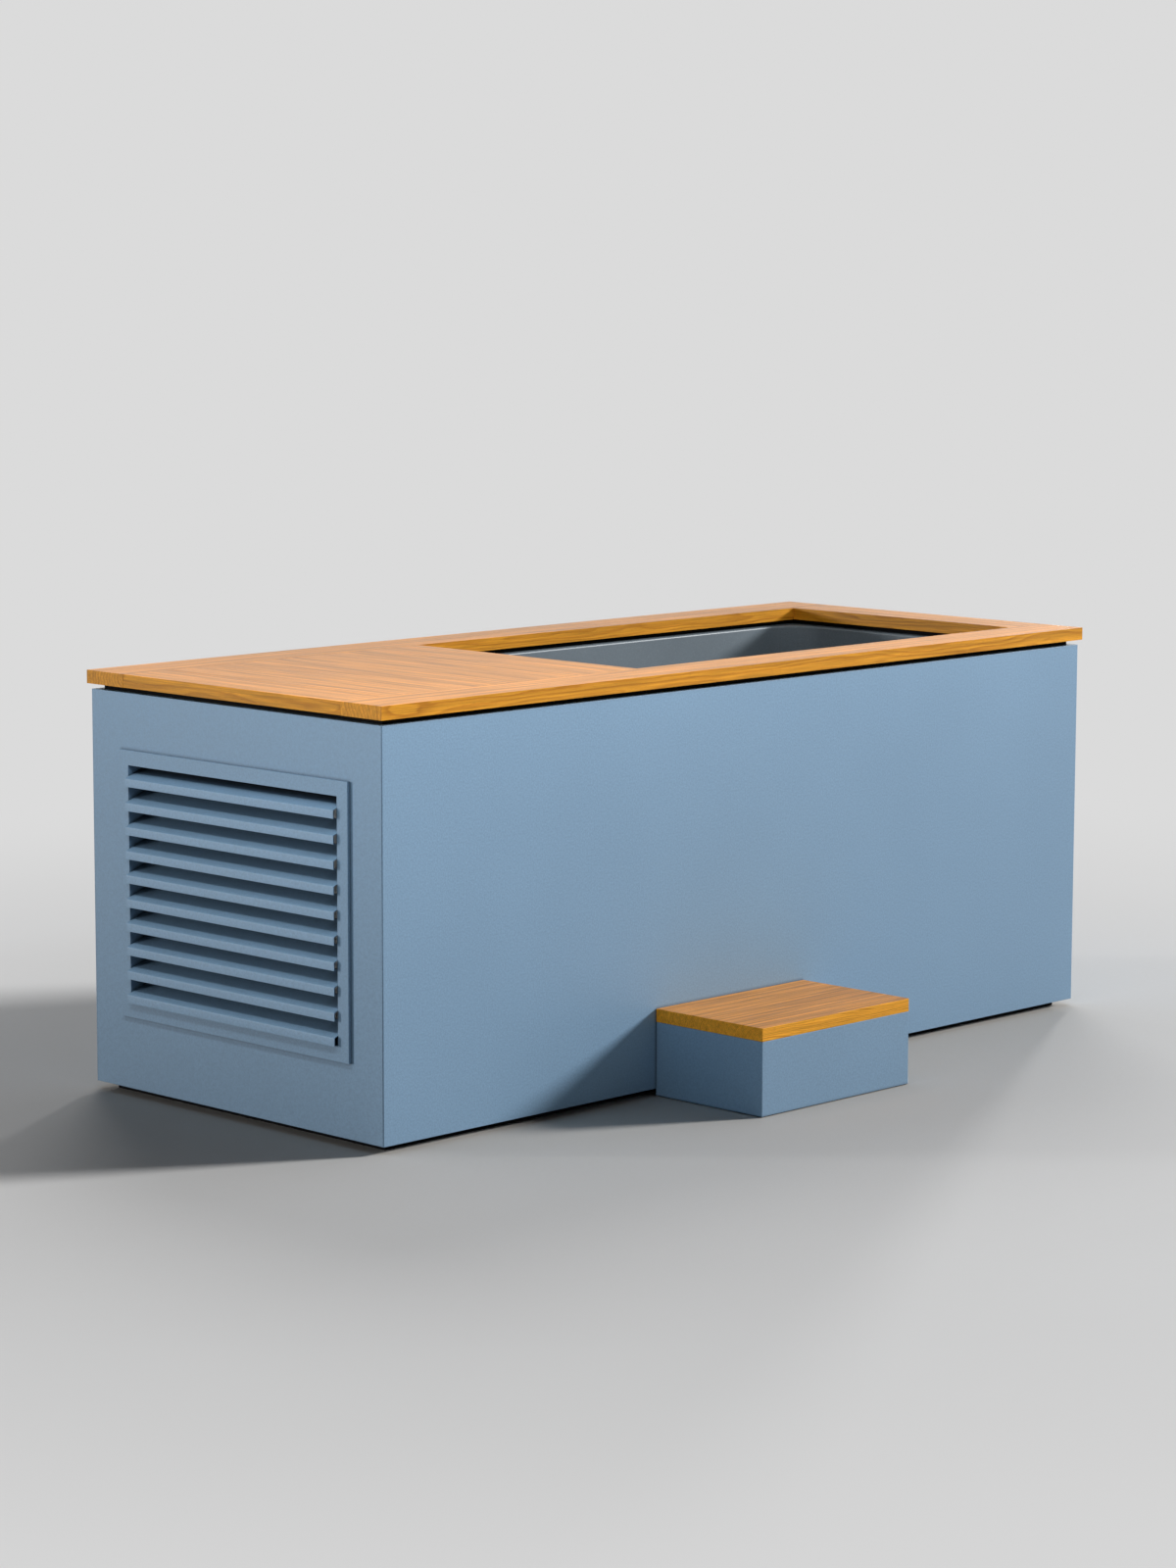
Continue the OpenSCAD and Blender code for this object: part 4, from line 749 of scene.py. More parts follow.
def box_mesh(name, low, high, radius=0.0, segments=2):
    """A box with eased edges."""
    body = bmesh.new()
    bmesh.ops.create_cube(body, size=1)
    size, centre = Vector(high) - Vector(low), (Vector(high) + Vector(low)) / 2
    for vert in body.verts:
        vert.co = Vector(a * b for a, b in zip(vert.co, size)) + centre
    if radius:
        bmesh.ops.bevel(body, geom=body.edges[:], offset=radius, segments=segments, profile=0.5,
                        affect="EDGES")
    mesh = bpy.data.meshes.new(name)
    body.to_mesh(mesh)
    body.free()
    return mesh


def extruded(name, outline, start, end):
    """A closed outline of (x, z) points drawn out along Y from start to end."""
    count = len(outline)
    points = [(x, y, z) for y in (start, end) for x, z in outline]
    faces = [(i, (i + 1) % count, (i + 1) % count + count, i + count) for i in range(count)]
    faces += [tuple(range(count)), tuple(range(2 * count - 1, count - 1, -1))]
    return mesh_from(name, points, faces)


def lofted(name, loops, close_first=True, close_last=True):
    """A skin over closed loops that have the same number of points."""
    count = len(loops[0])
    points = [p for loop in loops for p in loop]
    faces = []
    for row in range(len(loops) - 1):
        near, far = row * count, (row + 1) * count
        for i in range(count):
            j = (i + 1) % count
            faces.append((near + i, near + j, far + j, far + i))
    if close_first:
        faces.append(tuple(range(count)))
    if close_last:
        faces.append(tuple((len(loops) - 1) * count + i for i in range(count)))
    return mesh_from(name, points, faces)


def turned_mesh(name, profile, centre, axis, sides, ring=False):
    """A solid turned from (radius, along) points round X or Z, or a ring of a closed profile."""
    loops = []
    for radius, along in profile + profile[:1] if ring else profile:
        loop = []
        for i in range(sides):
            a = 2 * math.pi * i / sides
            u, v = radius * math.cos(a), radius * math.sin(a)
            offset = {"X": (along, u, v), "Z": (u, v, along)}[axis]
            loop.append(Vector(centre) + Vector(offset))
        loops.append(loop)
    return lofted(name, loops, close_first=not ring, close_last=not ring)


def joined(name, meshes):
    """Several meshes in one."""
    body = bmesh.new()
    for mesh in meshes:
        body.from_mesh(mesh)
    made = bpy.data.meshes.new(name)
    body.to_mesh(made)
    body.free()
    return made


# Geometry Nodes

def geometry_tree(name, inputs, build):
    """A geometry tree that is made once, and gives its material to all that it builds."""
    tree = bpy.data.node_groups.get(name)
    if tree is None:
        tree = bpy.data.node_groups.new(name, "GeometryNodeTree")
        for label, kind in {"Geometry": "Geometry", **inputs, "Material": "Material"}.items():
            tree.interface.new_socket(label, in_out="INPUT", socket_type="NodeSocket" + kind)
        tree.interface.new_socket("Geometry", in_out="OUTPUT", socket_type="NodeSocketGeometry")
        graph = Graph(tree)
        given = graph.add("NodeGroupInput").outputs
        real = graph.add("GeometryNodeRealizeInstances", {"Geometry": build(graph, given)})
        painted = graph.add("GeometryNodeSetMaterial", {"Geometry": real.outputs[0],
                                                        "Material": given["Material"]})
        graph.add("NodeGroupOutput", {"Geometry": painted.outputs[0]})
    return tree


def repeat_tree():
    """Repeats the object's own mesh in a row or round a centre, and numbers the copies."""
    def build(graph, given):
        index = graph.add("GeometryNodeInputIndex").outputs[0]
        back = graph.add("ShaderNodeVectorMath", {0: given["Centre"], "Scale": -1.0},
                         operation="SCALE")
        centred = graph.add("GeometryNodeTransform", {"Geometry": given["Geometry"],
                                                      "Translation": back.outputs[0]})
        line = graph.add("GeometryNodeMeshLine",
                         {"Count": given["Count"], "Start Location": given["Centre"],
                          "Offset": given["Step"]}, mode="OFFSET")
        turn = graph.add("ShaderNodeVectorMath", {0: given["Turn"], "Scale": index},
                         operation="SCALE")
        copies = graph.add("GeometryNodeInstanceOnPoints", {"Points": line.outputs[0],
                                                            "Instance": centred.outputs[0],
                                                            "Rotation": turn.outputs[0]})
        numbered = graph.add("GeometryNodeStoreNamedAttribute",
                             {"Geometry": copies.outputs[0], "Name": "board", "Value": index},
                             data_type="FLOAT", domain="INSTANCE")
        return numbered.outputs[0]

    inputs = {"Count": "Int", "Step": "Vector", "Turn": "Vector", "Centre": "Vector"}
    return geometry_tree("repeat_piece", inputs, build)


def tube_tree():
    """Draws a round tube along the object's own chain of edges, with rounded bends."""
    def build(graph, given):
        path = graph.add("GeometryNodeMeshToCurve", {0: given["Geometry"]})
        bent = graph.add("GeometryNodeFilletCurve",
                         {"Curve": path.outputs[0], "Radius": given["Bend"], "Limit Radius": True,
                          "Count": 7}, mode="POLY")
        ring = graph.add("GeometryNodeCurvePrimitiveCircle", {"Resolution": given["Sides"],
                                                              "Radius": given["Radius"]})
        skin = graph.add("GeometryNodeCurveToMesh", {"Curve": bent.outputs[0],
                                                     "Profile Curve": ring.outputs[0],
                                                     "Fill Caps": True})
        return skin.outputs[0]

    inputs = {"Radius": "Float", "Bend": "Float", "Sides": "Int"}
    return geometry_tree("bent_tube", inputs, build)


def evaluated_mesh(piece):
    """A plain mesh of what a piece's modifiers make of it."""
    piece.update_tag()
    bpy.context.view_layer.update()
    seen = piece.evaluated_get(bpy.context.evaluated_depsgraph_get())
    made = bpy.data.meshes.new_from_object(seen)
    if not made.polygons:
        raise RuntimeError(f"{piece.name}: its modifiers made no faces")
    return made


def generate(name, mesh, tree, **values):
    """Runs a geometry tree on a mesh and returns the plain mesh that it makes."""
    source = linked(name + "_source", mesh)
    modifier = source.modifiers.new("generate", "NODES")
    modifier.node_group = tree
    for item in tree.interface.items_tree:
        if item.item_type == "SOCKET" and item.in_out == "INPUT" and item.name in values:
            modifier[item.identifier] = values[item.name]
    made = evaluated_mesh(source)
    source.modifiers.remove(modifier)
    bpy.data.objects.remove(source)
    made.name = name + "_mesh"
    return made


def repeated(name, mesh, count, material, step=(0, 0, 0), turn=(0, 0, 0), centre=(0, 0, 0)):
    """The mesh of a row or ring of one piece."""
    return generate(name, mesh, repeat_tree(), Count=count, Step=Vector(step), Turn=Vector(turn),
                    Centre=Vector(centre), Material=material)


def tube(name, path, radius, bend, material, sides):
    """The mesh of a tube along a path with rounded bends."""
    line = bpy.data.meshes.new(name + "_path")
    line.from_pydata([tuple(p) for p in path], [(i, i + 1) for i in range(len(path) - 1)], [])
    return generate(name, line, tube_tree(), Radius=radius, Bend=bend, Sides=sides,
                    Material=material)


# Pieces

def make_panels():
    """The four folded body panels."""
    fold = settings("coat").fold
    for node in ("front_panel", "back_panel", "louvre_end_panel", "tub_end_panel"):
        dress(node, fold, 3)


def blade_outline(louvre, run, rise):
    """Outline of a blade: lip, bend, slope and back edge, from the foot of the lip."""
    turn = math.pi / 2 - louvre.slope
    tangent = louvre.bend * math.tan(turn / 2)
    centre_x, centre_z = louvre.bend, louvre.lip - tangent
    drop = louvre.sheet / math.cos(louvre.slope)
    steps = 6

    def arc(radius):
        angles = [math.pi - turn * i / steps for i in range(steps + 1)]
        return [(centre_x + radius * math.cos(a), centre_z + radius * math.sin(a)) for a in angles]

    back = louvre.lip + rise
    outer = [(0, 0)] + arc(louvre.bend) + [(run, back)]
    inner = [(louvre.sheet, 0)] + arc(louvre.bend - louvre.sheet) + [(run, back - drop)]
    return outer + inner[::-1]


def make_louvre():
    """The louvre's frame and its row of blades."""
    coat, louvre = settings("coat"), settings("louvre")
    dress("louvre_frame", coat.trim, 2)
    low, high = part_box("louvre_blades")
    run = high.x - low.x
    rise = run * math.tan(louvre.slope)
    pitch = (high.z - low.z - louvre.lip - rise) / (louvre.blades - 1)
    outline = [(low.x + x, low.z + z) for x, z in blade_outline(louvre, run, rise)]
    blade = extruded("louvre_blade", outline, low.y, high.y)
    # The blades' coat has painted shade, nearly black deep between two blades, and painted light on
    # their open faces
    painted_shade_coat = finish("blade_coat", coat_finish, louvre.recess, darkest=0.02, clear=0.55,
                         lift=1.08)
    mesh = repeated("louvre_row", blade, louvre.blades, painted_shade_coat, step=(0, 0, pitch))
    smooth(mesh)
    piece = linked("louvre_row", mesh)
    ease_edges(piece, coat.trim / 2)
    settle(piece, ["louvre_blades"])


def rim_tones():
    """Colours of the rim's timber: sides early and late, upper faces early and late."""
    timber = settings("timber")
    return timber.early, timber.late, timber.top_early, timber.top_late


def rail_finish(node, along_x, pith):
    """Timber for one rail, centred on it, its grain along X or Y."""
    low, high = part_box(node)
    turn = ALONG_X if along_x else ALONG_Y
    return finish(node + "_timber", timber_finish, rim_tones(), (low + high) / 2, turn, pith)


def make_timber_rim():
    """The four timber rails of the rim, each with its own place of the pith."""
    edge = settings("timber").edge
    piths = {"front_rail": (0.070, 0.012), "back_rail": (0.072, -0.010),
             "tub_end_rail": (0.066, 0.012), "bay_end_rail": (-0.068, 0.010)}
    for node, pith in piths.items():
        dress(node, edge, 2, rail_finish(node, node in ("front_rail", "back_rail"), pith))


def make_hatch():
    """The hatch over the machine bay: a row of staves on two battens."""
    timber, bay = settings("timber"), settings("bay")
    low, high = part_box("hatch_staves")
    pitch = (high.x - low.x + bay.stave_gap) / bay.staves
    first = Vector((low.x + pitch - bay.stave_gap, high.y, high.z))
    stave = box_mesh("hatch_stave", low, first, timber.edge * 0.7)
    wood = finish("stave_timber", timber_finish, rim_tones(), (low + first) / 2, ALONG_Y,
                  pith=(0.090, 0.030), ring_scale=0.6, pitch=pitch)
    mesh = repeated("stave_row", stave, bay.staves, wood, step=(pitch, 0, 0))
    smooth(mesh)
    settle(linked("stave_row", mesh), ["hatch_staves"])
    batten_wood = rail_finish("hatch_battens", along_x=True, pith=(0.04, 0.03))
    dress("hatch_battens", timber.edge, 2, batten_wood)


def make_shadow_gap():
    """The black bars in the shadow gap and under the body, and the screws in them."""
    bay = settings("bay")
    dress_each("spacer_bars", "plinth_bars")
    low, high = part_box("rail_screws")
    head, shank, socket, tall = 0.005, 0.0025, 0.0016, high.z - low.z
    foot = Vector((low.x + head, low.y + head, low.z))
    profile = [(NEAR_AXIS, 0.0012), (socket, 0.0012), (socket, 0.0), (head - 0.0005, 0.0),
               (head, 0.0005), (head, 0.0018), (shank, 0.0030), (shank, tall - 0.004),
               (NEAR_AXIS, tall)]
    screw = turned_mesh("rail_screw", profile, foot, "Z", 16)
    pitch = (high.x - low.x - 2 * head) / (bay.screws - 1)
    width = high.y - low.y - 2 * head
    steel = slot_finish("zinc_steel")
    row = repeated("screw_row", screw, bay.screws, steel, step=(pitch, 0, 0))
    both = repeated("screw_rows", row, 2, steel, step=(0, width, 0))
    smooth(both)
    settle(linked("screw_rows", both), ["rail_screws"])


def quarter_turn(steps):
    """Angles from nought to a right angle."""
    return [math.pi / 2 * i / steps for i in range(steps + 1)]


def rounded_loop(low, high, radius, height, steps):
    """Points of a rectangle with round corners, anticlockwise from its first corner."""
    loop = []
    corners = ((high[0] - radius, high[1] - radius, 0), (low[0] + radius, high[1] - radius, 90),
               (low[0] + radius, low[1] + radius, 180), (high[0] - radius, low[1] + radius, 270))
    for x, y, start in corners:
        for i in range(steps + 1):
            a = math.radians(start + 90 * i / steps)
            loop.append(Vector((x + radius * math.cos(a), y + radius * math.sin(a), height)))
    return loop


def liner_shell(liner, deck):
    """The liner's mesh without holes: rim, lip, walls, cove and floor, and the same from below."""
    low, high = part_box("tub_liner")
    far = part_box("tub_end_rail")[0].x
    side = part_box("back_rail")[0].y
    inner = (Vector((deck, -side)), Vector((far, side)))
    rim_top, floor_top = high.z, low.z + liner.wall
    steps, rim_corner = 10, 0.004

    def inset(amount, height):
        shrink = Vector((amount, amount))
        corner = max(liner.corner - amount, rim_corner)
        return rounded_loop(inner[0] + shrink, inner[1] - shrink, corner, height, steps)

    loops = []
    for amount, drop in ((0.0, 0.0035), (0.0004, 0.0004), (0.001, 0.0)):
        shrink = Vector((amount, amount, 0))
        loops.append(rounded_loop(low + shrink, high - shrink, rim_corner, rim_top - drop, steps))
    for a in quarter_turn(6):
        loops.append(inset(-liner.lip * (1 - math.sin(a)), rim_top - liner.lip * (1 - math.cos(a))))
    bends = quarter_turn(8)
    loops += [inset(liner.cove * (1 - math.cos(a)), floor_top + liner.cove * (1 - math.sin(a)))
              for a in bends]
    loops.append(inset(liner.corner + 0.02, floor_top))
    outer = liner.cove + liner.wall
    under = [inset(liner.cove - outer * math.cos(a), floor_top + liner.cove - outer * math.sin(a))
             for a in reversed(bends)] + [inset(-liner.wall, rim_top - 0.004)]
    inside = lofted("liner_inside", loops, close_first=False)
    outside = lofted("liner_outside", under + [loops[0]], close_last=False)
    shell = joined("liner_shell", [inside, outside])
    close_up(shell, 1e-5)
    return shell


def make_liner():
    """The moulded liner with the holes for its fittings, and the fittings."""
    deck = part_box("hatch_staves")[1].x
    piece = linked("liner_shell", liner_shell(settings("liner"), deck))
    fittings = ("suction_fitting", "return_fitting", "drain_fitting")
    hole, reach = 0.0163, 0.02
    drills = []
    for node in fittings:
        low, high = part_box(node)
        place = Vector((deck, (low.y + high.y) / 2, (low.z + high.z) / 2))
        drills.append(turned_mesh("liner_drill", [(hole, -reach), (hole, reach)], place, "X", 40))
    drill = linked("liner_drills", joined("liner_drills", drills))
    cut = piece.modifiers.new("holes", "BOOLEAN")
    cut.object = drill
    cut.solver = "EXACT"
    piece.data = evaluated_mesh(piece)
    piece.modifiers.clear()
    bpy.data.objects.remove(drill)
    smooth(piece.data, math.radians(40))
    settle(piece, ["tub_liner"], slot_finish("liner_gelcoat"))
    dress_each(*fittings)


def make_step():
    """The loose step: coated box, timber tread and rubber pads."""
    coat, timber = settings("coat"), settings("timber")
    dress("step_box", coat.fold, 3)
    low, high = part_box("step_tread")
    # The tread's side tones are painted light, much lighter than its top's
    tones = (timber.tread_early, timber.tread_late, timber.tread_top_early, timber.tread_top_late)
    wood = finish("tread_timber", timber_finish, tones, (low + high) / 2, ALONG_X,
                  pith=(0.160, 0.030), ring_scale=0.5)
    dress("step_tread", timber.edge, 3, wood)
    dress_each("step_pads")


def make_subframe():
    """The welded subframe, the pan, the bulkhead and the foam boards."""
    dress_each("base_rails", "frame_posts", "top_rails")
    dress_each("machine_pan", "bulkhead", "tub_insulation")


def serpentine(centre_x, rows, reach, short):
    """The path of a tube that runs along Y in each row and turns up to the next one.

    The reach is that of the bends' corners, and the short one that of the tube's two open ends.
    """
    path = []
    last = len(rows) - 1
    for i, z in enumerate(rows):
        start = (centre_x, short if i == 0 else reach, z)
        stop = (centre_x, -short if i == last else -reach, z)
        path += [start, stop] if i % 2 == 0 else [stop, start]
    return path


def make_condenser():
    """The condenser: its fins, its serpentine tube and its end plates."""
    bay = settings("bay")
    low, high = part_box("condenser_coil")
    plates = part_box("condenser_plates")
    pitch = (high.z - low.z - 2 * bay.tube) / (bay.coil_rows - 1)
    top = high.z - bay.tube
    rows = [top - i * pitch for i in range(bay.coil_rows)]
    reach = high.y - bay.tube
    short = high.y - pitch / 2 - bay.tube
    path = serpentine((plates[0].x + plates[1].x) / 2, rows, reach, short)
    bend = pitch / 2 - 0.0005
    coil = tube("condenser_tube", path, bay.tube, bend, slot_finish("copper_line"), sides=14)
    smooth(coil)
    settle(linked("condenser_tube", coil), ["condenser_coil"], slot="copper_line")
    gap, flange, clear = 0.003, 0.008, 0.002
    foot = low.z - pitch / 2 + bay.tube + clear
    fin_low = Vector((plates[0].x + gap, plates[0].y + flange, foot))
    fin_high = Vector((plates[1].x - gap, fin_low.y + bay.fin_sheet, plates[1].z - clear))
    fin = box_mesh("condenser_fin", fin_low, fin_high)
    step = (plates[1].y - plates[0].y - 2 * flange - bay.fin_sheet) / (bay.fins - 1)
    fins = repeated("condenser_fins", fin, bay.fins, slot_finish("coil_aluminium"),
                    step=(0, step, 0))
    settle(linked("condenser_fins", fins), ["condenser_coil"])
    dress_each("condenser_plates")


def fan_blade(hub, tip, chord, twist_root, twist_tip, thickness):
    """Loops round one cambered and swept fan blade that stands along Z and turns about X."""
    loops = []
    rows, across = 9, 9
    tip_sweep, camber_share = 0.26, 0.10
    for i in range(rows):
        t = i / (rows - 1)
        radius = hub + (tip - hub) * t
        turn = twist_root + (twist_tip - twist_root) * t
        # The blade widens outwards and is drawn in again at its tip
        width = chord * (0.78 + 0.42 * t - 0.30 * t ** 4)
        sweep = tip_sweep * t ** 2
        top, bottom = [], []
        for k in range(across):
            s = k / (across - 1) - 0.5
            camber = camber_share * width * (1 - 4 * s * s)
            thick = thickness * (1 - 3.2 * s * s) / 2
            for side, line in ((thick, top), (-thick, bottom)):
                x = width * s * math.sin(turn) + (camber + side) * math.cos(turn)
                y = width * s * math.cos(turn) - (camber + side) * math.sin(turn)
                around = y / radius + sweep
                line.append(Vector((x, radius * math.sin(around), radius * math.cos(around))))
        loops.append(top + bottom[::-1])
    return loops


def make_fan():
    """The fan: shroud, bracket, motor and a rotor with twisted blades."""
    bay = settings("bay")
    dress_each("fan_shroud", "fan_bracket", "fan_motor")
    low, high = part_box("fan_rotor")
    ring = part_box("fan_motor")
    centre = Vector((0, (ring[0].y + ring[1].y) / 2, (ring[0].z + ring[1].z) / 2))
    tip = (high.z - low.z) / 2 - 0.001
    hub, hub_length, shaft, wall = 0.052, 0.044, 0.006, 0.004
    plastic = slot_finish("fan_plastic")
    loops = [[p + centre + Vector((low.x + hub_length / 2, 0, 0)) for p in loop]
             for loop in fan_blade(hub - wall, tip, chord=0.092, twist_root=math.radians(34),
                                   twist_tip=math.radians(20), thickness=0.004)]
    blade = lofted("fan_blade", loops)
    blades = repeated("fan_blades", blade, bay.fan_blades, plastic,
                      turn=(2 * math.pi / bay.fan_blades, 0, 0), centre=centre)
    boss, web, wide = 0.016, 0.030, high.x - low.x
    profile = [(0.001, 0), (hub - 0.010, 0), (hub - 0.003, 0.003), (hub, 0.010), (hub, hub_length),
               (hub - wall, hub_length), (hub - wall, web), (boss, web), (boss, hub_length),
               (shaft, hub_length), (shaft, wide - 0.001), (shaft - 0.001, wide)]
    core = turned_mesh("fan_core", profile, Vector((low.x, centre.y, centre.z)), "X", 56)
    core.materials.append(plastic)
    whole = joined("fan_rotor_mesh", [core, blades])
    smooth(whole, math.radians(35))
    settle(linked("fan_rotor_turned", whole), ["fan_rotor"], plastic)


def make_compressor():
    """The compressor: two drawn shells with a weld seam, and its rubber grommets."""
    low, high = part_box("compressor")
    centre = (low + high) / 2
    radius, foot = 0.078, 0.004
    tall = high.z - low.z
    seam = tall * 0.55
    lower = [(-0.020, 0.002), (-0.006, 0.006), (0.0, 0.020)]
    weld = [(0.0, -0.010), (0.0005, -0.006), (0.003, -0.004), (0.0038, 0.0), (0.003, 0.004),
            (0.0005, 0.006), (-0.001, 0.010)]
    crown = [(-0.001, 0.046), (-0.006, 0.030), (-0.020, 0.016), (-0.044, 0.008)]
    stud = [(0.016, 0.006), (0.013, 0.0045), (0.012, 0.001), (0.008, 0.0), (0.001, 0.0)]
    profile = ([(radius + out, rise) for out, rise in lower]
               + [(radius + out, seam + rise) for out, rise in weld]
               + [(radius + out, tall - drop) for out, drop in crown]
               + [(wide, tall - drop) for wide, drop in stud])
    shell = turned_mesh("compressor_shell", profile, Vector((centre.x, centre.y, low.z)), "Z", 64)
    plate = box_mesh("compressor_foot", low, Vector((high.x, high.y, low.z + foot)), 0.0012)
    cover_low = Vector((centre.x - 0.030, centre.y + radius - 0.012, low.z + tall * 0.42))
    cover_high = Vector((centre.x + 0.030, high.y + 0.001, low.z + tall * 0.66))
    cover = box_mesh("compressor_cover", cover_low, cover_high, 0.003, 3)
    whole = joined("compressor_mesh", [shell, plate, cover])
    smooth(whole)
    settle(linked("compressor_shells", whole), ["compressor"], slot_finish("motor_black"))
    dress_each("compressor_mounts")


def make_cooling_unit():
    """The cooling unit on its tray."""
    dress_each("cooling_tray")
    make_condenser()
    make_fan()
    make_compressor()
    dress_each("water_chiller", "discharge_line", "liquid_line", "refrigerant_return")


def make_cartridge():
    """The pleated filter cartridge with its end caps."""
    bay = settings("bay")
    low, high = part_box("filter_cartridge")
    centre = (low + high) / 2
    outer, inner = (high.x - low.x) / 2, 0.036
    cloth, cloth_wall = slot_finish("filter_pleat"), 0.001
    half = math.pi / bay.pleats
    cap, sunk = 0.010, 0.001
    tip = outer - 0.003
    corners = ((inner, -half), (tip, -0.10 * half), (tip, 0.10 * half), (inner, half),
               (inner - cloth_wall, half), (tip - cloth_wall, 0.0), (inner - cloth_wall, -half))
    bottom = [Vector((centre.x + radius * math.cos(a), centre.y + radius * math.sin(a),
                      low.z + cap - sunk)) for radius, a in corners]
    top = [p + Vector((0, 0, high.z - low.z - 2 * (cap - sunk))) for p in bottom]
    pleat = lofted("filter_pleat_one", [bottom, top])
    pleats = repeated("filter_pleats", pleat, bay.pleats, cloth, turn=(0, 0, 2 * half),
                      centre=centre)
    settle(linked("filter_pleats", pleats), ["filter_cartridge"])
    bore = 0.026
    profile = [(bore, 0.001), (bore + 0.001, 0), (outer - 0.001, 0), (outer, 0.001),
               (outer, cap - 0.002), (outer - 0.002, cap), (bore + 0.001, cap), (bore, cap - 0.001)]
    meshes = []
    for z in (low.z, high.z - cap):
        place = Vector((centre.x, centre.y, z))
        meshes.append(turned_mesh("filter_cap", profile, place, "Z", 64, ring=True))
    caps = joined("filter_caps_mesh", meshes)
    smooth(caps)
    settle(linked("filter_caps", caps), ["filter_cartridge"], slot_finish("motor_black"),
           "dark_plastic")


def make_water_circuit():
    """Valves, filter, pump, pipes and the lamp vessel."""
    dress_each("suction_valve", "return_valve", "drain_valve", "lamp_vessel")
    dress_each("suction_handle", "return_handle", "drain_handle")
    dress_each("filter_bowl", "filter_lid", "pump_housing", "pump_impeller", "pump_motor")
    make_cartridge()
    dress_each("riser_pipe", "crossover_pipe", "drain_pipe")


def make_controls():
    """The control box with its rocker, and the power inlet."""
    dress_each("control_box", "power_switch", "power_inlet")


# Studio

# Name, heading from +X, height above the floor, strength and softness, with angles in degrees
LAMPS = (
    ("key_lamp", -29.0, 21.0, 1.18, 10.0),
    ("right_lamp", 30.0, 11.0, 0.27, 5.0),
    ("left_lamp", 134.0, 6.0, 0.34, 5.0),
    ("back_lamp", 48.0, 38.0, 0.19, 22.0),
)
# Name, place, target, long side, short side and strength
STRIPS = (
    ("front_strip", (0.2, -0.85, 1.55), (0.2, -0.43, 0.40), 5.0, 0.15, 7.2),
    ("end_strip", (-2.0, 0.0, 1.90), (-1.05, 0.0, 0.40), 2.2, 0.15, 11.4),
)


def add_sun(name, heading, height, strength, softness):
    """A distant lamp that shines from a heading and a height above the floor, in degrees."""
    lamp = bpy.data.lights.new(name, "SUN")
    lamp.energy = strength * math.pi
    lamp.angle = math.radians(softness)
    flat, up = math.radians(heading), math.radians(height)
    towards = Vector((math.cos(flat) * math.cos(up), math.sin(flat) * math.cos(up), math.sin(up)))
    sun = linked(name, lamp)
    sun.rotation_mode = "QUATERNION"
    sun.rotation_quaternion = towards.to_track_quat("Z", "Y")
    sun.location = towards * LAMP_DISTANCE


def add_strip(name, place, target, long_side, short_side, strength, lit_pieces):
    """A strip lamp over one face that lights the tub and leaves the floor alone."""
    lamp = bpy.data.lights.new(name, "AREA")
    lamp.shape = "RECTANGLE"
    lamp.size, lamp.size_y = long_side, short_side
    lamp.energy = strength * long_side * short_side * math.pi
    strip = linked(name, lamp)
    strip.rotation_mode = "QUATERNION"
    strip.rotation_quaternion = (Vector(place) - Vector(target)).to_track_quat("Z", "Y")
    strip.location = place
    strip.visible_camera = strip.visible_glossy = False
    strip.light_linking.receiver_collection = lit_pieces


def seen_ray(graph):
    """One for camera, glossy and transmission rays, which see the backdrop."""
    path = graph.add("ShaderNodeLightPath").outputs
    both = graph.math("MAXIMUM", path["Is Camera Ray"], path["Is Glossy Ray"])
    return graph.math("MAXIMUM", both, path["Is Transmission Ray"])


def make_world():
    """A soft dome, with the pale backdrop where the camera or a reflection sees it."""
    studio = settings("studio")
    world = bpy.data.worlds.new("studio_dome")
    world.use_nodes = True
    world.node_tree.nodes.clear()
    graph = Graph(world.node_tree)
    dome = graph.add("ShaderNodeBackground", {"Color": WHITE, "Strength": studio.dome})
    seen = graph.add("ShaderNodeBackground", {"Color": WHITE, "Strength": studio.backdrop})
    mixed = graph.add("ShaderNodeMixShader", {0: seen_ray(graph), 1: dome.outputs[0],
                                              2: seen.outputs[0]})
    graph.add("ShaderNodeOutputWorld", {"Surface": mixed.outputs[0]})
    bpy.context.scene.world = world


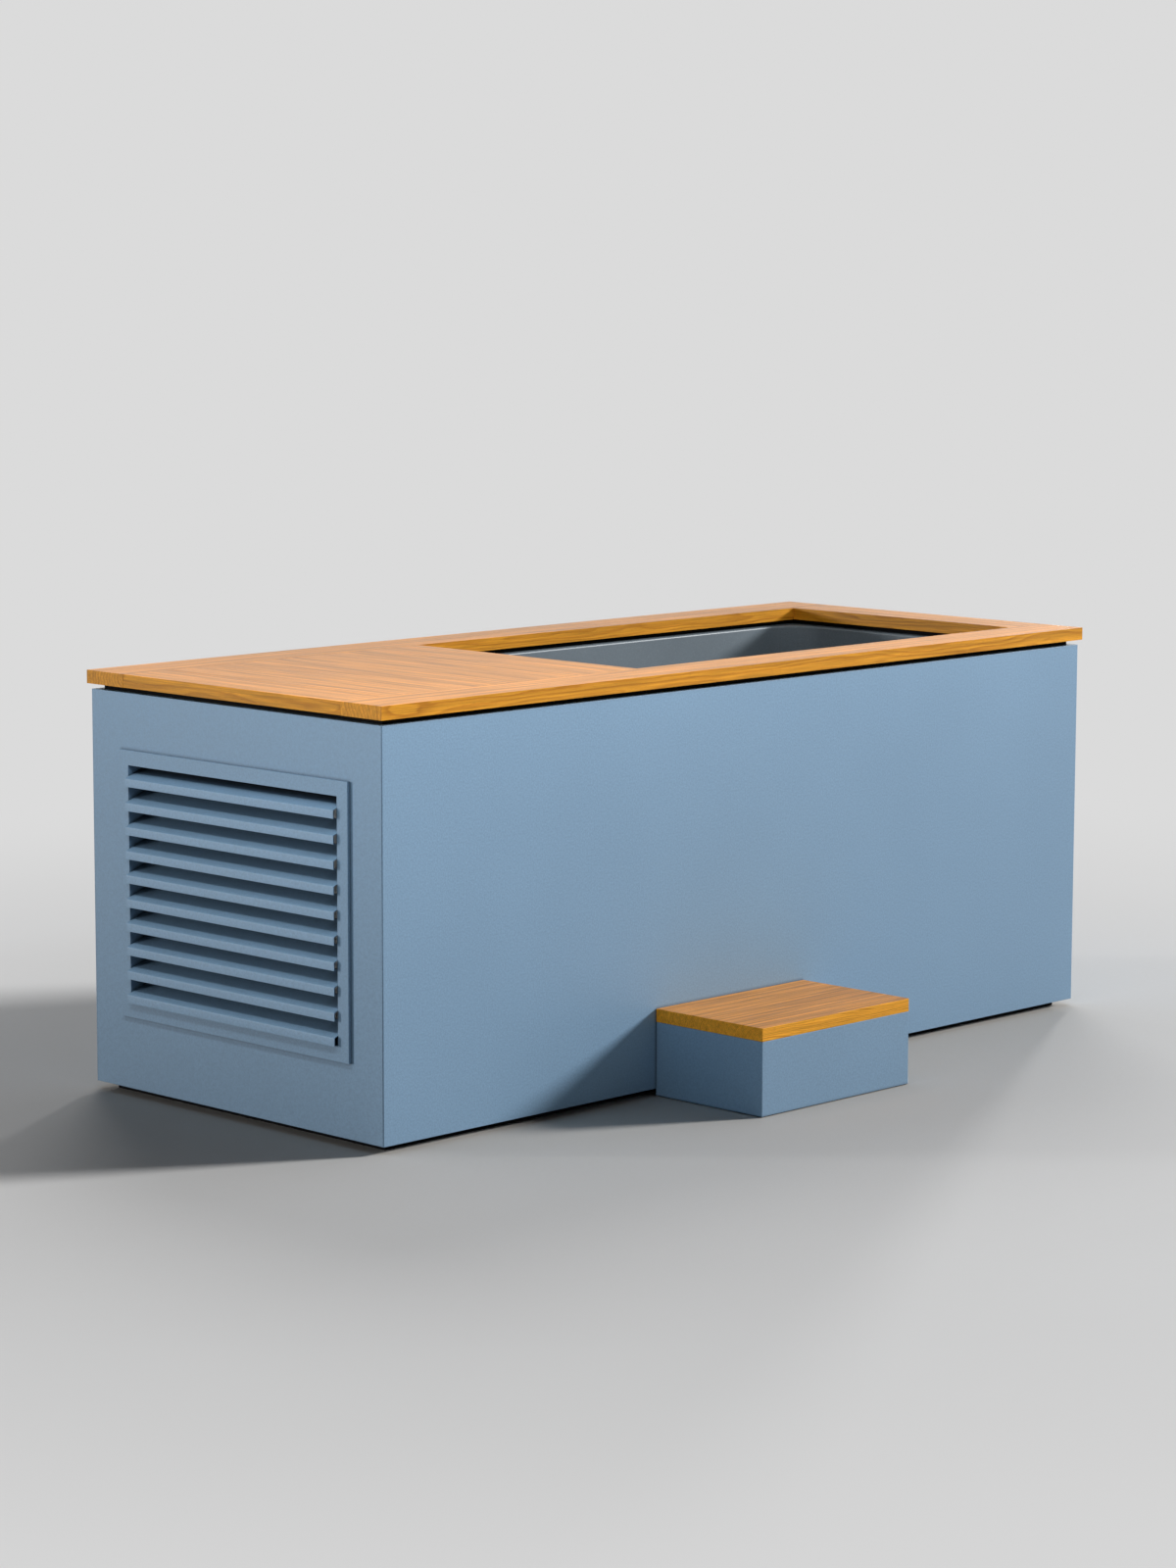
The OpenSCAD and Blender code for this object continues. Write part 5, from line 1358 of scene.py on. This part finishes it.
def make_floor():
    """A pale floor with painted shade close to the tub, that turns into the backdrop away from it.
    """
    studio = settings("studio")
    centre, reach = Vector((0, -0.4, 0)), 14.0
    bpy.ops.mesh.primitive_circle_add(vertices=96, radius=reach, fill_type="NGON", location=centre)
    floor = bpy.context.object
    floor.name = "studio_floor"
    material = bpy.data.materials.new("studio_floor")
    material.use_nodes = True
    material.node_tree.nodes.clear()
    graph = Graph(material.node_tree)
    place = graph.add("ShaderNodeTexCoord").outputs["Object"]
    away = graph.add("ShaderNodeVectorMath", {0: place}, operation="LENGTH").outputs["Value"]
    fade = graph.add("ShaderNodeMapRange",
                     {"Value": away, "From Min": studio.fade_in, "From Max": studio.fade_out},
                     interpolation_type="SMOOTHSTEP")
    watched = seen_ray(graph)
    shown = graph.math("MULTIPLY", fade.outputs[0], watched)
    tone = graph.shade(studio.floor, graph.noise(place, 1.4, 4.0), 0.012)
    # Painted shade: the floor is darkened and warmed close to the tub, by how much of the space
    # over it is open
    far = graph.span(graph.open_share(studio.near_reach, 16), 0.5, 1.0)
    toned = graph.vector("MULTIPLY", tone, graph.mix(far, studio.near_shade, WHITE))
    tint = graph.scaled(toned, graph.span(watched, 0.0, 1.0, 1.0, studio.seen_gain))
    ground = graph.add("ShaderNodeBsdfPrincipled", {"Base Color": tint, "Roughness": 0.8,
                                                    "Specular IOR Level": 0.15})
    beyond = graph.add("ShaderNodeEmission", {"Color": WHITE, "Strength": studio.backdrop})
    mixed = graph.add("ShaderNodeMixShader", {0: shown, 1: ground.outputs[0], 2: beyond.outputs[0]})
    graph.add("ShaderNodeOutputMaterial", {"Surface": mixed.outputs[0]})
    floor.data.materials.append(material)


def make_camera():
    """The camera at the photograph's viewpoint."""
    view = settings("camera")
    camera = bpy.data.cameras.new("camera")
    camera.sensor_width = 36
    camera.lens = view.lens
    camera.clip_end = 200
    forward = Vector((math.cos(view.tilt) * math.cos(view.heading),
                      math.cos(view.tilt) * math.sin(view.heading), -math.sin(view.tilt)))
    right = forward.cross(Z_AXIS).normalized()
    up = right.cross(forward)
    level_right = right * math.cos(view.roll) + up * math.sin(view.roll)
    level_up = up * math.cos(view.roll) - right * math.sin(view.roll)
    turn = Matrix((level_right, level_up, -forward)).transposed()
    placed = linked("camera", camera)
    placed.matrix_world = Matrix.Translation(view.place) @ turn.to_4x4()
    bpy.context.scene.camera = placed


def make_studio():
    """The floor, backdrop, lamps and camera."""
    lit_pieces = bpy.data.collections.new("lit_pieces")
    for piece in bpy.context.scene.objects:
        if piece.type == "MESH":
            lit_pieces.objects.link(piece)
    make_world()
    make_floor()
    for lamp in LAMPS:
        add_sun(*lamp)
    for strip in STRIPS:
        add_strip(*strip, lit_pieces)
    make_camera()
    bpy.context.scene.view_settings.view_transform = "Standard"


# Add-on

class PLUNGE_OT_panels(Operator):
    """Make the folded body panels"""
    bl_idname = "plunge.panels"
    bl_label = "Body Panels"
    bl_options = {"REGISTER", "UNDO"}

    def execute(self, context):
        make_panels()
        return {"FINISHED"}


class PLUNGE_OT_louvre(Operator):
    """Make the louvre's frame and blades"""
    bl_idname = "plunge.louvre"
    bl_label = "Louvre"
    bl_options = {"REGISTER", "UNDO"}

    def execute(self, context):
        make_louvre()
        return {"FINISHED"}


class PLUNGE_OT_timber_rim(Operator):
    """Make the timber rails of the rim"""
    bl_idname = "plunge.timber_rim"
    bl_label = "Timber Rim"
    bl_options = {"REGISTER", "UNDO"}

    def execute(self, context):
        make_timber_rim()
        return {"FINISHED"}


class PLUNGE_OT_hatch(Operator):
    """Make the lift-off hatch"""
    bl_idname = "plunge.hatch"
    bl_label = "Hatch"
    bl_options = {"REGISTER", "UNDO"}

    def execute(self, context):
        make_hatch()
        return {"FINISHED"}


class PLUNGE_OT_shadow_gap(Operator):
    """Make the black bars and the screws in them"""
    bl_idname = "plunge.shadow_gap"
    bl_label = "Shadow Gap and Plinth"
    bl_options = {"REGISTER", "UNDO"}

    def execute(self, context):
        make_shadow_gap()
        return {"FINISHED"}


class PLUNGE_OT_liner(Operator):
    """Make the liner and its fittings"""
    bl_idname = "plunge.liner"
    bl_label = "Liner"
    bl_options = {"REGISTER", "UNDO"}

    def execute(self, context):
        make_liner()
        return {"FINISHED"}


class PLUNGE_OT_step(Operator):
    """Make the loose step"""
    bl_idname = "plunge.step"
    bl_label = "Step"
    bl_options = {"REGISTER", "UNDO"}

    def execute(self, context):
        make_step()
        return {"FINISHED"}


class PLUNGE_OT_subframe(Operator):
    """Make the subframe, pan, bulkhead and insulation"""
    bl_idname = "plunge.subframe"
    bl_label = "Subframe"
    bl_options = {"REGISTER", "UNDO"}

    def execute(self, context):
        make_subframe()
        return {"FINISHED"}


class PLUNGE_OT_cooling_unit(Operator):
    """Make the cooling unit"""
    bl_idname = "plunge.cooling_unit"
    bl_label = "Cooling Unit"
    bl_options = {"REGISTER", "UNDO"}

    def execute(self, context):
        make_cooling_unit()
        return {"FINISHED"}


class PLUNGE_OT_water_circuit(Operator):
    """Make the valves, filter, pump, pipes and lamp vessel"""
    bl_idname = "plunge.water_circuit"
    bl_label = "Water Circuit"
    bl_options = {"REGISTER", "UNDO"}

    def execute(self, context):
        make_water_circuit()
        return {"FINISHED"}


class PLUNGE_OT_controls(Operator):
    """Make the control box, rocker and power inlet"""
    bl_idname = "plunge.controls"
    bl_label = "Controls"
    bl_options = {"REGISTER", "UNDO"}

    def execute(self, context):
        make_controls()
        return {"FINISHED"}


class PLUNGE_OT_studio(Operator):
    """Make the floor, backdrop, lamps and camera"""
    bl_idname = "plunge.studio"
    bl_label = "Studio"
    bl_options = {"REGISTER", "UNDO"}

    def execute(self, context):
        make_studio()
        return {"FINISHED"}


OPERATORS = (PLUNGE_OT_panels, PLUNGE_OT_louvre, PLUNGE_OT_timber_rim, PLUNGE_OT_hatch,
             PLUNGE_OT_shadow_gap, PLUNGE_OT_liner, PLUNGE_OT_step, PLUNGE_OT_subframe,
             PLUNGE_OT_cooling_unit, PLUNGE_OT_water_circuit, PLUNGE_OT_controls, PLUNGE_OT_studio)
GROUPS = {"coat": CoatSettings, "timber": TimberSettings, "liner": LinerSettings,
          "louvre": LouvreSettings, "bay": BaySettings, "studio": StudioSettings,
          "camera": CameraSettings}


class PLUNGE_PT_tub(Panel):
    """Sizes, colours and pieces of the plunge tub"""
    bl_idname = "PLUNGE_PT_tub"
    bl_label = "Plunge Tub"
    bl_space_type = "VIEW_3D"
    bl_region_type = "UI"
    bl_category = "Plunge Tub"

    def draw(self, context):
        for name, group in GROUPS.items():
            box = self.layout.box()
            box.label(text=name.capitalize())
            for field in group.__annotations__:
                box.prop(settings(name), field)
        for operator in OPERATORS:
            self.layout.operator(operator.bl_idname)


def register():
    """Adds the settings, the operators and the panel to Blender."""
    for group in GROUPS.values():
        bpy.utils.register_class(group)
    for name, group in GROUPS.items():
        setattr(bpy.types.Scene, "plunge_" + name, PointerProperty(type=group))
    for shown in (*OPERATORS, PLUNGE_PT_tub):
        bpy.utils.register_class(shown)


def unregister():
    """Takes the panel, the operators and the settings out of Blender."""
    for shown in (PLUNGE_PT_tub, *reversed(OPERATORS)):
        bpy.utils.unregister_class(shown)
    for name, group in GROUPS.items():
        delattr(bpy.types.Scene, "plunge_" + name)
        bpy.utils.unregister_class(group)


def main():
    """Builds every piece."""
    register()
    for operator in OPERATORS:
        getattr(bpy.ops.plunge, operator.bl_idname.split(".")[1])()


if __name__ == "__main__":
    main()
